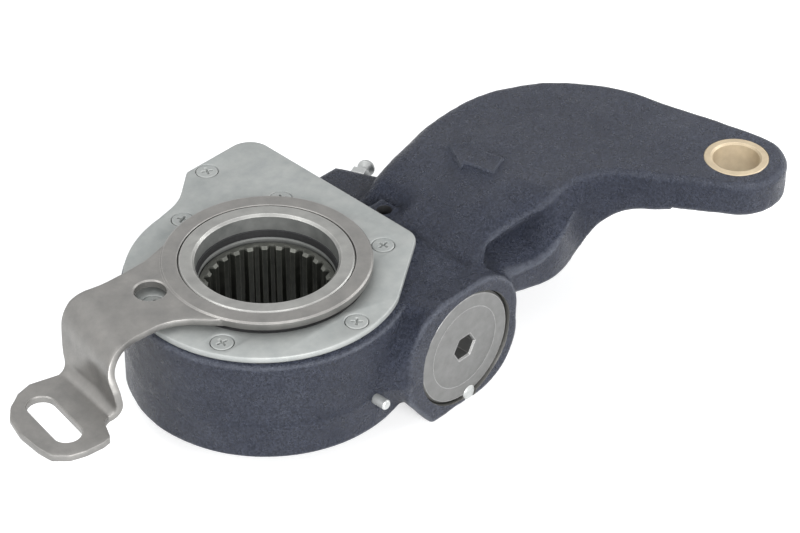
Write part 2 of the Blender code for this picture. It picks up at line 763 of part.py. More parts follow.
def cut_housing(housing, worm_axis, stop_axis, nipple_root):
    """The wheel's cavity, the worm's bore, the rack's slide and pocket, and the small holes."""
    groove = (WHEEL_FLOOR - WHEEL_SEAL_HEIGHT) / 2
    cavity = turned(
        "wheel_cavity",
        [
            (0, -PAST),
            (JOURNAL_R + RUN, -PAST),
            (JOURNAL_R + RUN, groove - SEAT),
            (JOURNAL_R + WHEEL_SEAL_WALL + RUN + SEAT, groove - SEAT),
            (JOURNAL_R + WHEEL_SEAL_WALL + RUN + SEAT, groove + WHEEL_SEAL_HEIGHT + SEAT),
            (JOURNAL_R + RUN, groove + WHEEL_SEAL_HEIGHT + SEAT),
            (JOURNAL_R + RUN, WHEEL_FLOOR),
            (CAVITY_R, WHEEL_FLOOR),
            (CAVITY_R, RECESS_FLOOR),
            (RECESS_R, RECESS_FLOOR),
            (RECESS_R, HUB_HEIGHT + 3 * PAST),
            (0, HUB_HEIGHT + 3 * PAST),
        ],
        steps=42,
        start=0.01,
    )
    bore = turned(
        "worm_bore",
        [
            (0, -BOSS_FRONT - PAST),
            (CAP_R + RUN, -BOSS_FRONT - PAST),
            (CAP_R + RUN, BORE_FRONT),
            (WORM_BORE_R, BORE_FRONT),
            (WORM_BORE_R, BUSH_END + SEAT),
            (HEX_SEAL_R + SEAT, BUSH_END + SEAT),
            (HEX_SEAL_R + SEAT, BARREL_REAR + PAST),
            (0, BARREL_REAR + PAST),
        ],
        worm_axis,
        steps=36,
        start=0.02,
    )
    body_low = RACK_ROOT_Z
    side = RACK_WIDTH / 2 + RUN
    y0, y1 = RACK_Y - side, RACK_Y + side
    x0 = RACK_LEFT - RACK_TRAVEL_LEFT - 3 * RUN
    x1 = RACK_RIGHT + RACK_TRAVEL_RIGHT + RUN
    xt = RACK_TEETH_FROM - RACK_TRAVEL_LEFT - RUN
    open_to = HUB_HEIGHT + 3 * PAST
    slide_right = PLATE_RIGHT - 2 * PAST
    slide = prism(
        "rack_slide",
        [(x0, y0), (slide_right, y0), (slide_right, y1), (x0, y1)],
        body_low - RUN,
        open_to,
    )
    pocket = prism(
        "rack_pocket",
        [(xt, y0 + 0.00002), (x1, y0 + 0.00002), (x1, y1 - 0.00002), (xt, y1 - 0.00002)],
        RACK_PITCH_Z - PINION_MODULE - RUN,
        RACK_TOP + RUN,
    )
    low, high = PLATE_TOP - SCREW_LENGTH - SEAT, HUB_HEIGHT + 2 * PAST
    holes = [
        cylinder(f"screw_hole_{i}", SCREW_SHANK_R + SEAT, low, high, None, 10, place)
        for i, place in enumerate(screw_places(), 1)
    ]
    low, high = ARM_NECK_BOTTOM - 2 * PAST, ARM_TOP + 2 * PAST
    eye_hole = cylinder("eye_hole", EYE_HOLE_R, low, high, None, 32, EYE)
    low, high = VENT_PAD_TOP - VENT_HOLE_DEPTH, VENT_PAD_TOP + 2 * PAST
    vent = cylinder("vent_hole", VENT_HOLE_R, low, high, None, 16, VENT_PAD)
    low, high = -BOSS_FRONT - PAST, CAP_FACE + LOCK_PIN_LENGTH + SEAT
    lock = cylinder("lock_hole", LOCK_PIN_R + SEAT, low, high, worm_axis, 16, lock_pin_place())
    low, high = -STOP_PIN_OUT, STOP_PIN_IN + SEAT
    stop = cylinder("stop_hole", STOP_PIN_R + SEAT, low, high, stop_axis, 20)
    low, high = -NIPPLE_THREAD_LENGTH - SEAT, 2 * PAST
    nipple = cylinder("nipple_hole", NIPPLE_THREAD_R + SEAT, low, high, nipple_root, 20)
    cut(housing, cavity, bore, slide, pocket, *holes, eye_hole, vent, lock, stop, nipple)


def lock_pin_place():
    """Where the locking pin crosses the end cap's edge, in the worm's axes."""
    reach = CAP_R + RUN
    return (LOCK_PIN_SIDE, sqrt(reach**2 - LOCK_PIN_SIDE**2))


def stop_pin_axis():
    """Empty on the hub's wall with its Z into the wall."""
    x, z = STOP_PIN
    share = z / HUB_HEIGHT
    wall = HUB_R - HUB_DRAFT * (1 - share)
    return axis_empty("stop_pin_axis", (x, -sqrt(wall**2 - x**2), z), (radians(-90), 0, 0))


def build_bushing(look):
    outer = EYE_HOLE_R - SEAT
    low, high = ARM_NECK_BOTTOM, ARM_TOP + 0.0001
    lead = FINE_EDGE
    bushing = turned(
        "clevis_bushing",
        [
            (BUSHING_BORE_R, low),
            (outer - lead, low),
            (outer, low + lead),
            (outer, high),
            (BUSHING_BORE_R + lead, high),
            (BUSHING_BORE_R, high - lead),
        ],
        steps=32,
    )
    bushing.location.xy = EYE
    return finish(bushing, look)


def build_cover(zinc, rubber):
    plate = prism("cover_plate", plate_outline(), PLATE_BOTTOM, PLATE_TOP)
    seal_r = SHOULDER_R + SEAT
    seal_out = seal_r + COLLAR_SEAL_WALL
    low, high = PLATE_BOTTOM - PAST, PLATE_TOP + PAST
    opening = cylinder("plate_opening", seal_out + SEAT, low, high, None, 48)
    sinks = []
    for i, place in enumerate(screw_places(), 1):
        depth = SCREW_HEAD_R - SCREW_SHANK_R
        sink = turned(
            f"plate_sink_{i}",
            [
                (0, PLATE_BOTTOM - 0.001),
                (SCREW_SHANK_R + CONE_GAP, PLATE_BOTTOM - 0.001),
                (SCREW_SHANK_R + CONE_GAP, PLATE_TOP - depth),
                (SCREW_HEAD_R + CONE_GAP, PLATE_TOP),
                (SCREW_HEAD_R + CONE_GAP, PLATE_TOP + 0.001),
                (0, PLATE_TOP + 0.001),
            ],
            steps=10,
        )
        sink.location.xy = place
        sinks.append(sink)
    cut(plate, opening, *sinks)
    finish(plate, zinc)

    low = HUB_HEIGHT + SEAT
    gasket = prism("cover_gasket", plate_outline(-0.0006), low, low + GASKET_THICKNESS)
    gasket_hole = cylinder("gasket_opening", RECESS_R + 0.0001, low - 0.001, low + 0.002, None, 40)
    slide = RACK_WIDTH / 2 + RUN
    rack_hole = prism(
        "gasket_rack_opening",
        [
            (RACK_LEFT - RACK_TRAVEL_LEFT, RACK_Y - slide),
            (PLATE_RIGHT - 0.004, RACK_Y - slide),
            (PLATE_RIGHT - 0.004, RACK_Y + slide),
            (RACK_LEFT - RACK_TRAVEL_LEFT, RACK_Y + slide),
        ],
        low - 0.001,
        low + 0.002,
    )
    screw_holes = [
        cylinder(f"gasket_hole_{i}", SCREW_SHANK_R + SEAT, low - 0.001, low + 0.002, None, 8, place)
        for i, place in enumerate(screw_places(), 1)
    ]
    cut(gasket, gasket_hole, rack_hole, *screw_holes)
    finish(gasket, rubber)

    seal = ring("collar_seal", seal_r, seal_out, PLATE_BOTTOM, PLATE_TOP - SEAT, None, 40)
    finish(seal, rubber)


def build_screws(zinc):
    depth = SCREW_HEAD_R - SCREW_SHANK_R
    for i, place in enumerate(screw_places(), 1):
        screw = turned(
            f"cover_screw_{i}",
            [
                (0, PLATE_TOP - SCREW_LENGTH),
                (SCREW_SHANK_R - 0.0005, PLATE_TOP - SCREW_LENGTH),
                (SCREW_SHANK_R, PLATE_TOP - SCREW_LENGTH + 0.0005),
                (SCREW_SHANK_R, PLATE_TOP - depth),
                (SCREW_HEAD_R, PLATE_TOP),
                (0, PLATE_TOP),
            ],
            steps=12,
        )
        screw.location.xy = place
        sockets = []
        for turn in (20, 110):
            low, high = PLATE_TOP - CROSS_DEPTH, PLATE_TOP + PAST
            socket = prism(f"screw_cross_{i}_{turn}", box_outline(CROSS_LENGTH, CROSS_WIDTH), low, high)
            socket.location.xy = place
            socket.rotation_euler.z = radians(turn + 37 * i)
            sockets.append(socket)
        cut(screw, *sockets)
        finish(screw, zinc)


def tooth_ring(teeth, turn, root_r, pitch_r, tip_r, thickness, angle, height):
    """One level of a toothed wheel: per tooth, two points on the root circle and two on the tip."""
    points = []
    for i in range(teeth):
        middle = turn + 2 * pi * i / teeth
        half = thickness / 2
        root_half = (half + (pitch_r - root_r) * tan(angle)) / root_r
        tip_half = (half - (tip_r - pitch_r) * tan(angle)) / tip_r
        for radius, offset in (
            (root_r, -root_half),
            (tip_r, -tip_half),
            (tip_r, tip_half),
            (root_r, root_half),
        ):
            at = middle + offset
            points.append((radius * cos(at), radius * sin(at), height))
    return points


def build_wheel(steel, rubber):
    """Worm wheel: helical gear band, lower journal, upper neck and the camshaft spline."""
    lead_slope = AXIAL_PITCH / (2 * pi * WORM_PITCH_R)
    root_r = WHEEL_ROOT_R
    half_face = WHEEL_FACE / 2
    levels = []
    for share in (-1, 0, 1):
        offset = share * half_face
        reach = WORM_PITCH_R - GEAR_DEDENDUM + RUN
        tip_r = min(WHEEL_TIP_R, WORM_X - sqrt(max(reach**2 - offset**2, 1e-8)))
        levels.append(
            tooth_ring(
                WHEEL_TEETH,
                lead_slope * offset / WHEEL_PITCH_R,
                root_r,
                WHEEL_PITCH_R,
                tip_r,
                TOOTH_THICKNESS,
                FLANK_ANGLE,
                WORM_HEIGHT + offset,
            )
        )
    wheel = loft("worm_wheel", levels)
    floor = WHEEL_FLOOR + SEAT
    rim_r = root_r + WHEEL_RIM
    cone_low = RECESS_FLOOR - NECK_CONE_DROP
    blank = turned(
        "wheel_blank",
        [
            (0, SEAT),
            (JOURNAL_R - EDGE, SEAT),
            (JOURNAL_R, SEAT + EDGE),
            (JOURNAL_R, floor),
            (rim_r, floor),
            (rim_r, WORM_HEIGHT - half_face),
            (rim_r - WHEEL_RIM_DIP, WORM_HEIGHT - half_face + WHEEL_RIM),
            (rim_r - WHEEL_RIM_DIP, WORM_HEIGHT + half_face - WHEEL_RIM),
            (rim_r, WORM_HEIGHT + half_face),
            (rim_r, cone_low),
            (NECK_R, cone_low + NECK_CONE),
            (NECK_R, WHEEL_TOP - EDGE),
            (NECK_R - EDGE, WHEEL_TOP),
            (0, WHEEL_TOP),
        ],
        steps=36,
        start=0.013,
    )
    add(wheel, blank)
    spline = []
    for i in range(SPLINE_TEETH):
        middle = 2 * pi * i / SPLINE_TEETH
        space = pi * SPLINE_MODULE / 2
        for radius, half in (
            (SPLINE_TIP_R, -space * 0.62),
            (SPLINE_ROOT_R, -space * 0.30),
            (SPLINE_ROOT_R, space * 0.30),
            (SPLINE_TIP_R, space * 0.62),
        ):
            spline.append((radius * cos(middle + half / radius), radius * sin(middle + half / radius)))
    bore = prism("spline_cutter", spline, -2 * PAST, WHEEL_TOP + 2 * PAST)
    lead_in = turned(
        "spline_lead_in",
        [
            (0, WHEEL_TOP - SPLINE_LEAD),
            (SPLINE_TIP_R - 0.0002, WHEEL_TOP - SPLINE_LEAD),
            (SPLINE_ROOT_R + 0.0001, WHEEL_TOP + 0.00001),
            (SPLINE_ROOT_R + 0.0001, WHEEL_TOP + 2 * PAST),
            (0, WHEEL_TOP + 2 * PAST),
        ],
        steps=36,
        start=0.007,
    )
    cut(wheel, bore, lead_in)
    finish(wheel, steel)

    groove = (WHEEL_FLOOR - WHEEL_SEAL_HEIGHT) / 2
    inner = JOURNAL_R + RUN
    seal = ring("wheel_seal", inner, inner + WHEEL_SEAL_WALL, groove, groove + WHEEL_SEAL_HEIGHT, None, 32)
    finish(seal, rubber)


def build_worm(worm_axis, steel):
    """Worm with its spring journal, clutch cone, shaft and adjusting hexagon."""
    core = WORM_PITCH_R - GEAR_DEDENDUM
    tip = GEAR_ADDENDUM
    flank = tan(FLANK_ANGLE)
    low = -GEAR_DEDENDUM - SEAT
    base = TOOTH_THICKNESS / 2 - low * flank
    crest = TOOTH_THICKNESS / 2 - tip * flank
    journal = JOURNAL_SMALL_R
    front = WASHER_FRONT - JOURNAL_NOSE
    worm = turned(
        "worm_screw",
        [
            (0, front),
            (journal - EDGE, front),
            (journal, front + EDGE),
            (journal, -THREAD_HALF),
            (core, -THREAD_HALF),
            (core, THREAD_HALF),
            (CONE_LARGE_R, THREAD_HALF),
            (CONE_LARGE_R, CONE_START + SEAT),
            (CONE_SMALL_R, CONE_END),
            (SHAFT_R, CONE_END),
            (SHAFT_R, BARREL_REAR + EDGE),
            (0, BARREL_REAR + EDGE),
        ],
        worm_axis,
        steps=20,
    )
    turns = (WORM_THREAD_LENGTH - 2 * base - THREAD_RUN_OUT) / AXIAL_PITCH
    # The worm's local Y is world -Z, so a right-hand thread keeps its hand in these axes.
    # The groove faces the wheel, which lies towards local -X, where the tooth at Y 0 stands.
    start = -turns * AXIAL_PITCH / 2
    phase = pi + 2 * pi * (start + AXIAL_PITCH / 2) / AXIAL_PITCH
    thread = coil(
        "worm_thread",
        [(low, -base), (tip, -crest), (tip, crest), (low, base)],
        WORM_PITCH_R,
        AXIAL_PITCH,
        turns,
        start,
        worm_axis,
        14,
        phase,
    )
    low, high = BARREL_REAR - PAST, BARREL_REAR + HEX_LENGTH
    hexagon = prism("adjusting_hex", regular(HEX_FLATS), low, high, worm_axis)
    add(worm, thread, hexagon)
    finish(worm, steel)


def build_clutch(worm_axis, steel, spring_steel):
    """One-way clutch: its wheel on the worm's cone, the wrap spring and the toothed ring."""
    hub_in = SHAFT_R + SEAT
    hub_out = hub_in + CLUTCH_HUB_WALL
    flange_end = FLANGE_START + CLUTCH_FLANGE
    hub_end = PINION_END
    slope = (CONE_LARGE_R - CONE_SMALL_R) / (CONE_END - CONE_START - SEAT)
    gap = SEAT * 1.05
    wheel = turned(
        "clutch_wheel",
        [
            (CONE_LARGE_R + gap, FLANGE_START),
            (CLUTCH_FLANGE_R - FINE_EDGE, FLANGE_START),
            (CLUTCH_FLANGE_R, FLANGE_START + FINE_EDGE),
            (CLUTCH_FLANGE_R, flange_end - FINE_EDGE),
            (CLUTCH_FLANGE_R - FINE_EDGE, flange_end),
            (hub_out, flange_end),
            (hub_out, hub_end),
            (hub_in, hub_end),
            (hub_in, CONE_END + gap),
            (CONE_LARGE_R - slope * (CONE_END - CONE_START) + gap, CONE_END + gap),
        ],
        worm_axis,
        steps=24,
    )
    finish(wheel, steel)

    coil_r = hub_out + SEAT + CLUTCH_WIRE_R
    ring_in = coil_r + CLUTCH_WIRE_R + SEAT
    inside = PINION_END - PINION_START - 2 * CLUTCH_WIRE_R - 2 * SEAT
    spring = coil(
        "clutch_spring",
        round_profile(CLUTCH_WIRE_R, 4),
        coil_r,
        inside / CLUTCH_TURNS,
        CLUTCH_TURNS,
        PINION_START + SEAT + CLUTCH_WIRE_R,
        worm_axis,
        12,
    )
    finish(spring, spring_steel)

    outline = [
        (x, y)
        for x, y, _ in tooth_ring(
            PINION_TEETH,
            -pi / 2,
            PINION_PITCH_R - 1.25 * PINION_MODULE,
            PINION_PITCH_R,
            PINION_TIP_R,
            pi * PINION_MODULE / 2 - PINION_BACKLASH,
            FLANK_ANGLE,
            0,
        )
    ]
    pinion = prism("clutch_ring", outline, PINION_START, PINION_END, worm_axis)
    low, high = PINION_START - PAST, PINION_END + PAST
    bore = cylinder("clutch_ring_bore", ring_in, low, high, worm_axis, 28)
    cut(pinion, bore)
    finish(pinion, steel)


def build_axis_pieces(worm_axis, steel, cap_steel, rubber, spring_steel, bronze):
    """Thrust bearing, spring and its seat, end cap, bush and seals on the worm's axis."""
    journal = JOURNAL_SMALL_R
    wall = WORM_BORE_R - SEAT
    bearing = ring("thrust_bearing", journal + RUN, wall, THRUST_FRONT, THRUST_REAR, worm_axis, 24)
    finish(bearing, steel)
    washer = ring("spring_seat", journal + RUN, wall, WASHER_FRONT, WASHER_REAR, worm_axis, 24)
    finish(washer, steel)

    recess = CAP_FACE + CAP_THICKNESS - CAP_SPRING_RECESS
    first = recess + SEAT + SPRING_WIRE_R
    last = WASHER_FRONT - SEAT - SPRING_WIRE_R
    spring = coil(
        "main_spring",
        round_profile(SPRING_WIRE_R, 6),
        SPRING_COIL_R,
        (last - first) / SPRING_TURNS,
        SPRING_TURNS,
        first,
        worm_axis,
        12,
    )
    finish(spring, spring_steel)

    back = CAP_FACE + CAP_THICKNESS
    groove_middle = CAP_FACE + CAP_THICKNESS * 0.62
    groove = CAP_SEAL_WIDTH / 2 + SEAT
    cap = turned(
        "end_cap",
        [
            (0, CAP_FACE),
            (CAP_R - EDGE, CAP_FACE),
            (CAP_R, CAP_FACE + EDGE),
            (CAP_R, groove_middle - groove),
            (CAP_R - CAP_GROOVE_DEPTH, groove_middle - groove),
            (CAP_R - CAP_GROOVE_DEPTH, groove_middle + groove),
            (CAP_R, groove_middle + groove),
            (CAP_R, back),
            (CAP_SPRING_RECESS_R, back),
            (CAP_SPRING_RECESS_R, recess),
            (0, recess),
        ],
        worm_axis,
        steps=36,
    )
    low, high = CAP_FACE - PAST, CAP_FACE + CAP_SOCKET_DEPTH
    socket = prism("cap_socket", regular(CAP_SOCKET_FLATS), low, high, worm_axis)
    low, high = CAP_FACE - 2 * PAST, CAP_FACE + LOCK_PIN_LENGTH + SEAT
    pin_cut = cylinder("cap_pin_cut", LOCK_PIN_R + SEAT, low, high, worm_axis, 16, lock_pin_place())
    cut(cap, socket, pin_cut)
    finish(cap, cap_steel)

    seal = ring(
        "end_cap_seal",
        CAP_R - CAP_GROOVE_DEPTH + SEAT,
        CAP_R + RUN - SEAT,
        groove_middle - CAP_SEAL_WIDTH / 2,
        groove_middle + CAP_SEAL_WIDTH / 2,
        worm_axis,
        32,
    )
    cut(seal, pin_cut)
    finish(seal, rubber)

    low, high = CAP_FACE - LOCK_PIN_OUT, CAP_FACE + LOCK_PIN_LENGTH
    pin = cylinder("locking_pin", LOCK_PIN_R, low, high, worm_axis, 16, lock_pin_place())
    finish(pin, cap_steel)

    bush = ring("adjuster_bush", SHAFT_R + RUN, wall, BUSH_START, BUSH_END, worm_axis, 24)
    finish(bush, bronze)
    high = BARREL_REAR - HEX_SEAL_DEPTH
    low = high - HEX_SEAL_LENGTH
    hex_seal = ring("adjuster_seal", SHAFT_R + RUN, HEX_SEAL_R, low, high, worm_axis, 24)
    finish(hex_seal, rubber)


def build_rack(steel):
    """Rack over the clutch ring, with the peg that stands in the control disc's notch."""
    pitch = pi * PINION_MODULE
    tip_z = RACK_PITCH_Z - 0.9 * PINION_MODULE
    root_z = RACK_ROOT_Z
    half = pitch / 4 - PINION_BACKLASH / 2
    slope = tan(FLANK_ANGLE)
    first = int((RACK_TEETH_FROM - WORM_X) / pitch) - 1
    last = int((RACK_RIGHT - WORM_X) / pitch) + 1
    side = [(RACK_LEFT, root_z), (RACK_TEETH_FROM - 0.0004, root_z)]
    for i in range(first, last):
        middle = WORM_X + (i + 0.5) * pitch
        root_half = half + (root_z - RACK_PITCH_Z) * slope
        tip_half = half - (RACK_PITCH_Z - tip_z) * slope
        if middle - root_half < RACK_TEETH_FROM or middle + root_half > RACK_RIGHT:
            continue
        side += [
            (middle - root_half, root_z),
            (middle - tip_half, tip_z),
            (middle + tip_half, tip_z),
            (middle + root_half, root_z),
        ]
    side += [(RACK_RIGHT, root_z), (RACK_RIGHT, RACK_TOP), (RACK_LEFT, RACK_TOP)]
    width = RACK_WIDTH / 2
    rack = loft("rack", [[(x, y, z) for x, z in side] for y in (RACK_Y - width, RACK_Y + width)])
    low, high = RACK_TOP - 2 * PAST, DISC_TOP - SEAT
    peg = cylinder("rack_peg", PEG_R, low, high, None, 24, (0, PEG_Y))
    add(rack, peg)
    finish(rack, steel)


def build_control_disc(control_axis, steel, rubber):
    """Collar round the wheel's neck with the notched disc below the cover."""
    lead = EDGE
    disc = turned(
        "control_disc",
        [
            (COLLAR_BORE_R, DISC_BOTTOM),
            (DISC_R, DISC_BOTTOM),
            (DISC_R, DISC_TOP),
            (SHOULDER_R, DISC_TOP),
            (SHOULDER_R, RING_BOTTOM - SEAT),
            (COLLAR_R, RING_BOTTOM - SEAT),
            (COLLAR_R, COLLAR_TOP),
            (COLLAR_BORE_R + lead, COLLAR_TOP),
            (COLLAR_BORE_R, COLLAR_TOP - lead),
        ],
        control_axis,
        steps=44,
    )
    half = PEG_R + SEAT + NOTCH_PLAY
    inner, outer = DISC_R - NOTCH_DEPTH, DISC_R + 2 * PAST
    outline = [(-half, inner), (half, inner), (half, outer), (-half, outer)]
    notch = prism("disc_notch", outline, DISC_BOTTOM - PAST, DISC_TOP + PAST, control_axis)
    cut(disc, notch)
    finish(disc, steel)

    inner, outer = NECK_R - 2 * RUN, COLLAR_BORE_R - SEAT
    low, high = WHEEL_TOP + RUN, WHEEL_TOP + RUN + BORE_SEAL_HEIGHT
    seal = ring("bore_seal", inner, outer, low, high, control_axis, 40)
    finish(seal, rubber)


def arm_path():
    """Middle of the control arm's sheet along u: (u, z, normal along u, normal along z)."""
    half = (ARM_SHEET - RING_STEP) / 2
    flat_z = RING_BOTTOM - 0.0001 + half
    path = [(u, flat_z, 0.0, 1.0) for u in (*FLAT_STATIONS, BEND_TOP_U)]
    for i in range(1, BEND_STEPS + 1):
        turn = pi / 2 * i / BEND_STEPS
        u = BEND_TOP_U + BEND_TOP_R * sin(turn)
        path.append((u, flat_z - BEND_TOP_R * (1 - cos(turn)), sin(turn), cos(turn)))
    foot_z = DROP_FOOT_Z - half
    drop_u = BEND_TOP_U + BEND_TOP_R
    for i in range(BEND_STEPS):
        turn = pi / 2 * (1 - i / (BEND_STEPS - 1))
        u = drop_u + BEND_FOOT_R * (1 - sin(turn))
        path.append((u, foot_z + BEND_FOOT_R * (1 - cos(turn)), sin(turn), cos(turn)))
    for u in FOOT_STATIONS:
        path.append((u, foot_z, 0.0, 1.0))
    return path


def arm_sides(u, on_foot):
    """Left and right edges of the control arm at a station, across u."""
    left, right = (FOOT_LEFT, FOOT_RIGHT) if on_foot else (ARM_LEFT, ARM_RIGHT)
    return interpolate(left, u), interpolate(right, u)


def interpolate(table, x):
    """Straight lines between the points of a table."""
    if x <= table[0][0]:
        return table[0][1]
    for (x0, y0), (x1, y1) in zip(table, table[1:]):
        if x <= x1:
            return y0 + (y1 - y0) * (x - x0) / (x1 - x0)
    return table[-1][1]


def build_control_arm(control_axis, sheet):
    """Pressed steel arm: ring on the collar, flat, bend, drop and a foot with its slot."""
    arm_axis = axis_empty("control_arm_axis", (0, 0, 0), (0, 0, CONTROL_AZIMUTH))
    arm_axis.parent = control_axis
    arm = ring("control_arm", RING_IN_R, RING_R, RING_BOTTOM, COLLAR_TOP, arm_axis, 48)
    path = arm_path()
    bend_end = len(FLAT_STATIONS) + 1 + BEND_STEPS
    across = 6
    half = (ARM_SHEET - RING_STEP) / 2
    grids = []
    for i, (u, z, normal_u, normal_z) in enumerate(path):
        left, right = arm_sides(u, i > bend_end)
        top, bottom = [], []
        for j in range(across + 1):
            v = left + (right - left) * j / across
            at = u
            if i == 0:
                reach = RING_R - ARM_ROOT_INSET
                first, last = atan2(left, ARM_LEFT[0][0]), atan2(right, ARM_RIGHT[0][0])
                spread = first + (last - first) * j / across
                at, v = reach * cos(spread), reach * sin(spread)
            if i == 1:
                middle_share = 1 - abs(2 * j / across - 1)
                at = u - ARM_ROOT_HOLLOW * (1 - middle_share) + PAST * middle_share
                v = interpolate([(0.0, left * 1.10), (1.0, right * 1.06)], j / across)
            top.append((at + normal_u * half, v, z + normal_z * half))
            bottom.append((at - normal_u * half, v, z - normal_z * half))
        grids.append(top + bottom[::-1])
    strip = loft("arm_strip", grids, arm_axis)
    add(arm, strip)
    low, high = RING_BOTTOM - 2 * PAST, COLLAR_TOP + 2 * PAST
    access = cylinder("access_hole", ACCESS_HOLE_R, low, high, arm_axis, 32, ACCESS_HOLE)
    straight = (SLOT_LENGTH - SLOT_WIDTH) / 2
    slot_outline = arc((0, straight), SLOT_WIDTH / 2, 0, pi, 10)
    slot_outline += arc((0, -straight), SLOT_WIDTH / 2, pi, 2 * pi, 10)
    slot = prism("foot_slot", slot_outline, DROP_FOOT_Z - 0.006, DROP_FOOT_Z + 0.003, arm_axis)
    slot.location.xy = SLOT_CENTRE
    slot.rotation_euler.z = SLOT_TURN
    cut(arm, access, slot)
    finish(arm, sheet)


def build_stop_pin(axis, zinc):
    stop = cylinder("stop_pin", STOP_PIN_R, -STOP_PIN_OUT, STOP_PIN_IN, axis, 20)
    finish(stop, zinc)


def build_nipple(axis, zinc):
    """Grease nipple: thread, hexagon, neck and ball head, turned about one axis."""
    head, neck = NIPPLE_HEAD_R, NIPPLE_NECK_R
    hex_top = SEAT + NIPPLE_HEX_LENGTH
    ball = NIPPLE_OUT - head
    thread_top, collar_top, collar_r = hex_top - PAST, hex_top + NIPPLE_COLLAR, neck + NIPPLE_COLLAR
    profile = [
        (0, -NIPPLE_THREAD_LENGTH),
        (NIPPLE_THREAD_R, -NIPPLE_THREAD_LENGTH),
        (NIPPLE_THREAD_R, thread_top),
        (collar_r, thread_top),
        (collar_r, collar_top),
    ]
    neck_angle = asin(neck / head)
    for i in range(6):
        turn = pi - neck_angle - (pi - neck_angle - 0.35) * i / 5
        profile.append((head * sin(turn), ball + head * cos(turn)))
    profile.append((0, ball + head * cos(0.35)))
    nipple = turned("grease_nipple", profile, axis, 12)
    hexagon = prism("nipple_hex", regular(NIPPLE_HEX_FLATS), SEAT, hex_top, axis)
    add(nipple, hexagon)
    finish(nipple, zinc)


def main():
    for old in list(bpy.data.objects):
        bpy.data.objects.remove(old, do_unlink=True)
    paint = material("casting_paint", (0.085, 0.095, 0.125), 0.45, 0.0)
    zinc = material("zinc_plate", (0.62, 0.64, 0.66), 0.38, 0.9)
    sheet = material("control_arm_steel", (0.42, 0.41, 0.40), 0.42, 0.85)
    collar = material("collar_steel", (0.52, 0.52, 0.51), 0.35, 0.9)
    gear_steel = material("gear_steel", (0.22, 0.21, 0.19), 0.4, 0.9)
    cap_steel = material("end_cap_steel", (0.45, 0.44, 0.43), 0.4, 0.85)
    spring_steel = material("spring_steel", (0.25, 0.25, 0.26), 0.35, 0.9)
    bronze = material("bushing_bronze", (0.42, 0.33, 0.22), 0.4, 0.9)
    rubber = material("seal_rubber", (0.02, 0.02, 0.02), 0.7, 0.0)

    worm_axis = axis_empty("worm_axis", (WORM_X, 0, WORM_HEIGHT), (radians(-90), 0, 0))
    control_axis = axis_empty("control_axis", (0, 0, 0))
    stop_axis = stop_pin_axis()
    nipple_root = nipple_axis()
    build_housing(worm_axis, stop_axis, nipple_root, paint)
    build_bushing(bronze)
    build_cover(zinc, rubber)
    build_screws(zinc)
    build_wheel(gear_steel, rubber)
    build_worm(worm_axis, gear_steel)
    build_clutch(worm_axis, gear_steel, spring_steel)
    build_axis_pieces(worm_axis, gear_steel, cap_steel, rubber, spring_steel, bronze)
    build_rack(gear_steel)
    build_control_disc(control_axis, collar, rubber)
    build_control_arm(control_axis, sheet)
    build_stop_pin(stop_axis, zinc)
    build_nipple(nipple_root, zinc)


main()
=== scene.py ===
"""Looks of the brake slack adjuster: the lever casting with its worm, wheel, control arm and cover.

Each section makes one piece or one group of like pieces, with its sizes in millimetres.
"""

import math

import bmesh
import bpy
import numpy as np
from mathutils import Matrix, Vector
from mathutils.geometry import tessellate_polygon


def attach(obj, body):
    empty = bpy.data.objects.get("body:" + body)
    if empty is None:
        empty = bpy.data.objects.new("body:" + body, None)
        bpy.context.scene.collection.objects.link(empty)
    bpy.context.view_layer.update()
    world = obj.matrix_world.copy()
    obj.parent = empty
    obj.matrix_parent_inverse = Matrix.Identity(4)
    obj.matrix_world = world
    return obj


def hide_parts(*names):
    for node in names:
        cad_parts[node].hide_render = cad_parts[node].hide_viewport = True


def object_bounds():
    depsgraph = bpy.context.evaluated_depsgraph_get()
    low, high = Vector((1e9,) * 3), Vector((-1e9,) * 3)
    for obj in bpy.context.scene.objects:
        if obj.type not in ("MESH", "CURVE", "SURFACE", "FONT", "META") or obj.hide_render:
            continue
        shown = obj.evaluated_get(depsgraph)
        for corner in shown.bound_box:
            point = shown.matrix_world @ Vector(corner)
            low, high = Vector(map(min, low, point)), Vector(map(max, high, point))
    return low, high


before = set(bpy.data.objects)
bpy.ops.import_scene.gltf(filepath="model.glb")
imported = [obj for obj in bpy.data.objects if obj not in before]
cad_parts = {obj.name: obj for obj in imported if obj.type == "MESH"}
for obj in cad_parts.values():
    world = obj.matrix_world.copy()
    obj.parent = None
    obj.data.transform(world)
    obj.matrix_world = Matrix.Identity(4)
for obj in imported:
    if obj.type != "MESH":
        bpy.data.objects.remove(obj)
cad_box = [list(corner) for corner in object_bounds()]


# Camera and studio: a 135 mm lens one metre away, looking down at the lying adjuster from the
# front left. It lies on white card, under a wide soft box, with four smaller ones round it.
AZIMUTH, ELEVATION, ROLL = math.radians(-46.46), math.radians(37.04), math.radians(0.17)
TARGET = Vector((0.04967, -0.01187, 0.020))
DISTANCE = 1.0


def new_object(name, data):
    """An object with this data, in the scene."""
    made = bpy.data.objects.new(name, data)
    bpy.context.scene.collection.objects.link(made)
    return made


camera = new_object("camera", bpy.data.cameras.new("camera"))
camera.data.lens, camera.data.sensor_width, camera.data.clip_start = 135.0, 36.0, 0.05
camera.matrix_world = (
    Matrix.Translation(TARGET)
    @ Matrix.Rotation(AZIMUTH, 4, "Z")
    @ Matrix.Rotation(math.pi / 2 - ELEVATION, 4, "X")
    @ Matrix.Rotation(ROLL, 4, "Z")
    @ Matrix.Translation((0, 0, DISTANCE))
)
bpy.context.scene.camera = camera
bpy.context.scene.view_settings.view_transform = "Standard"


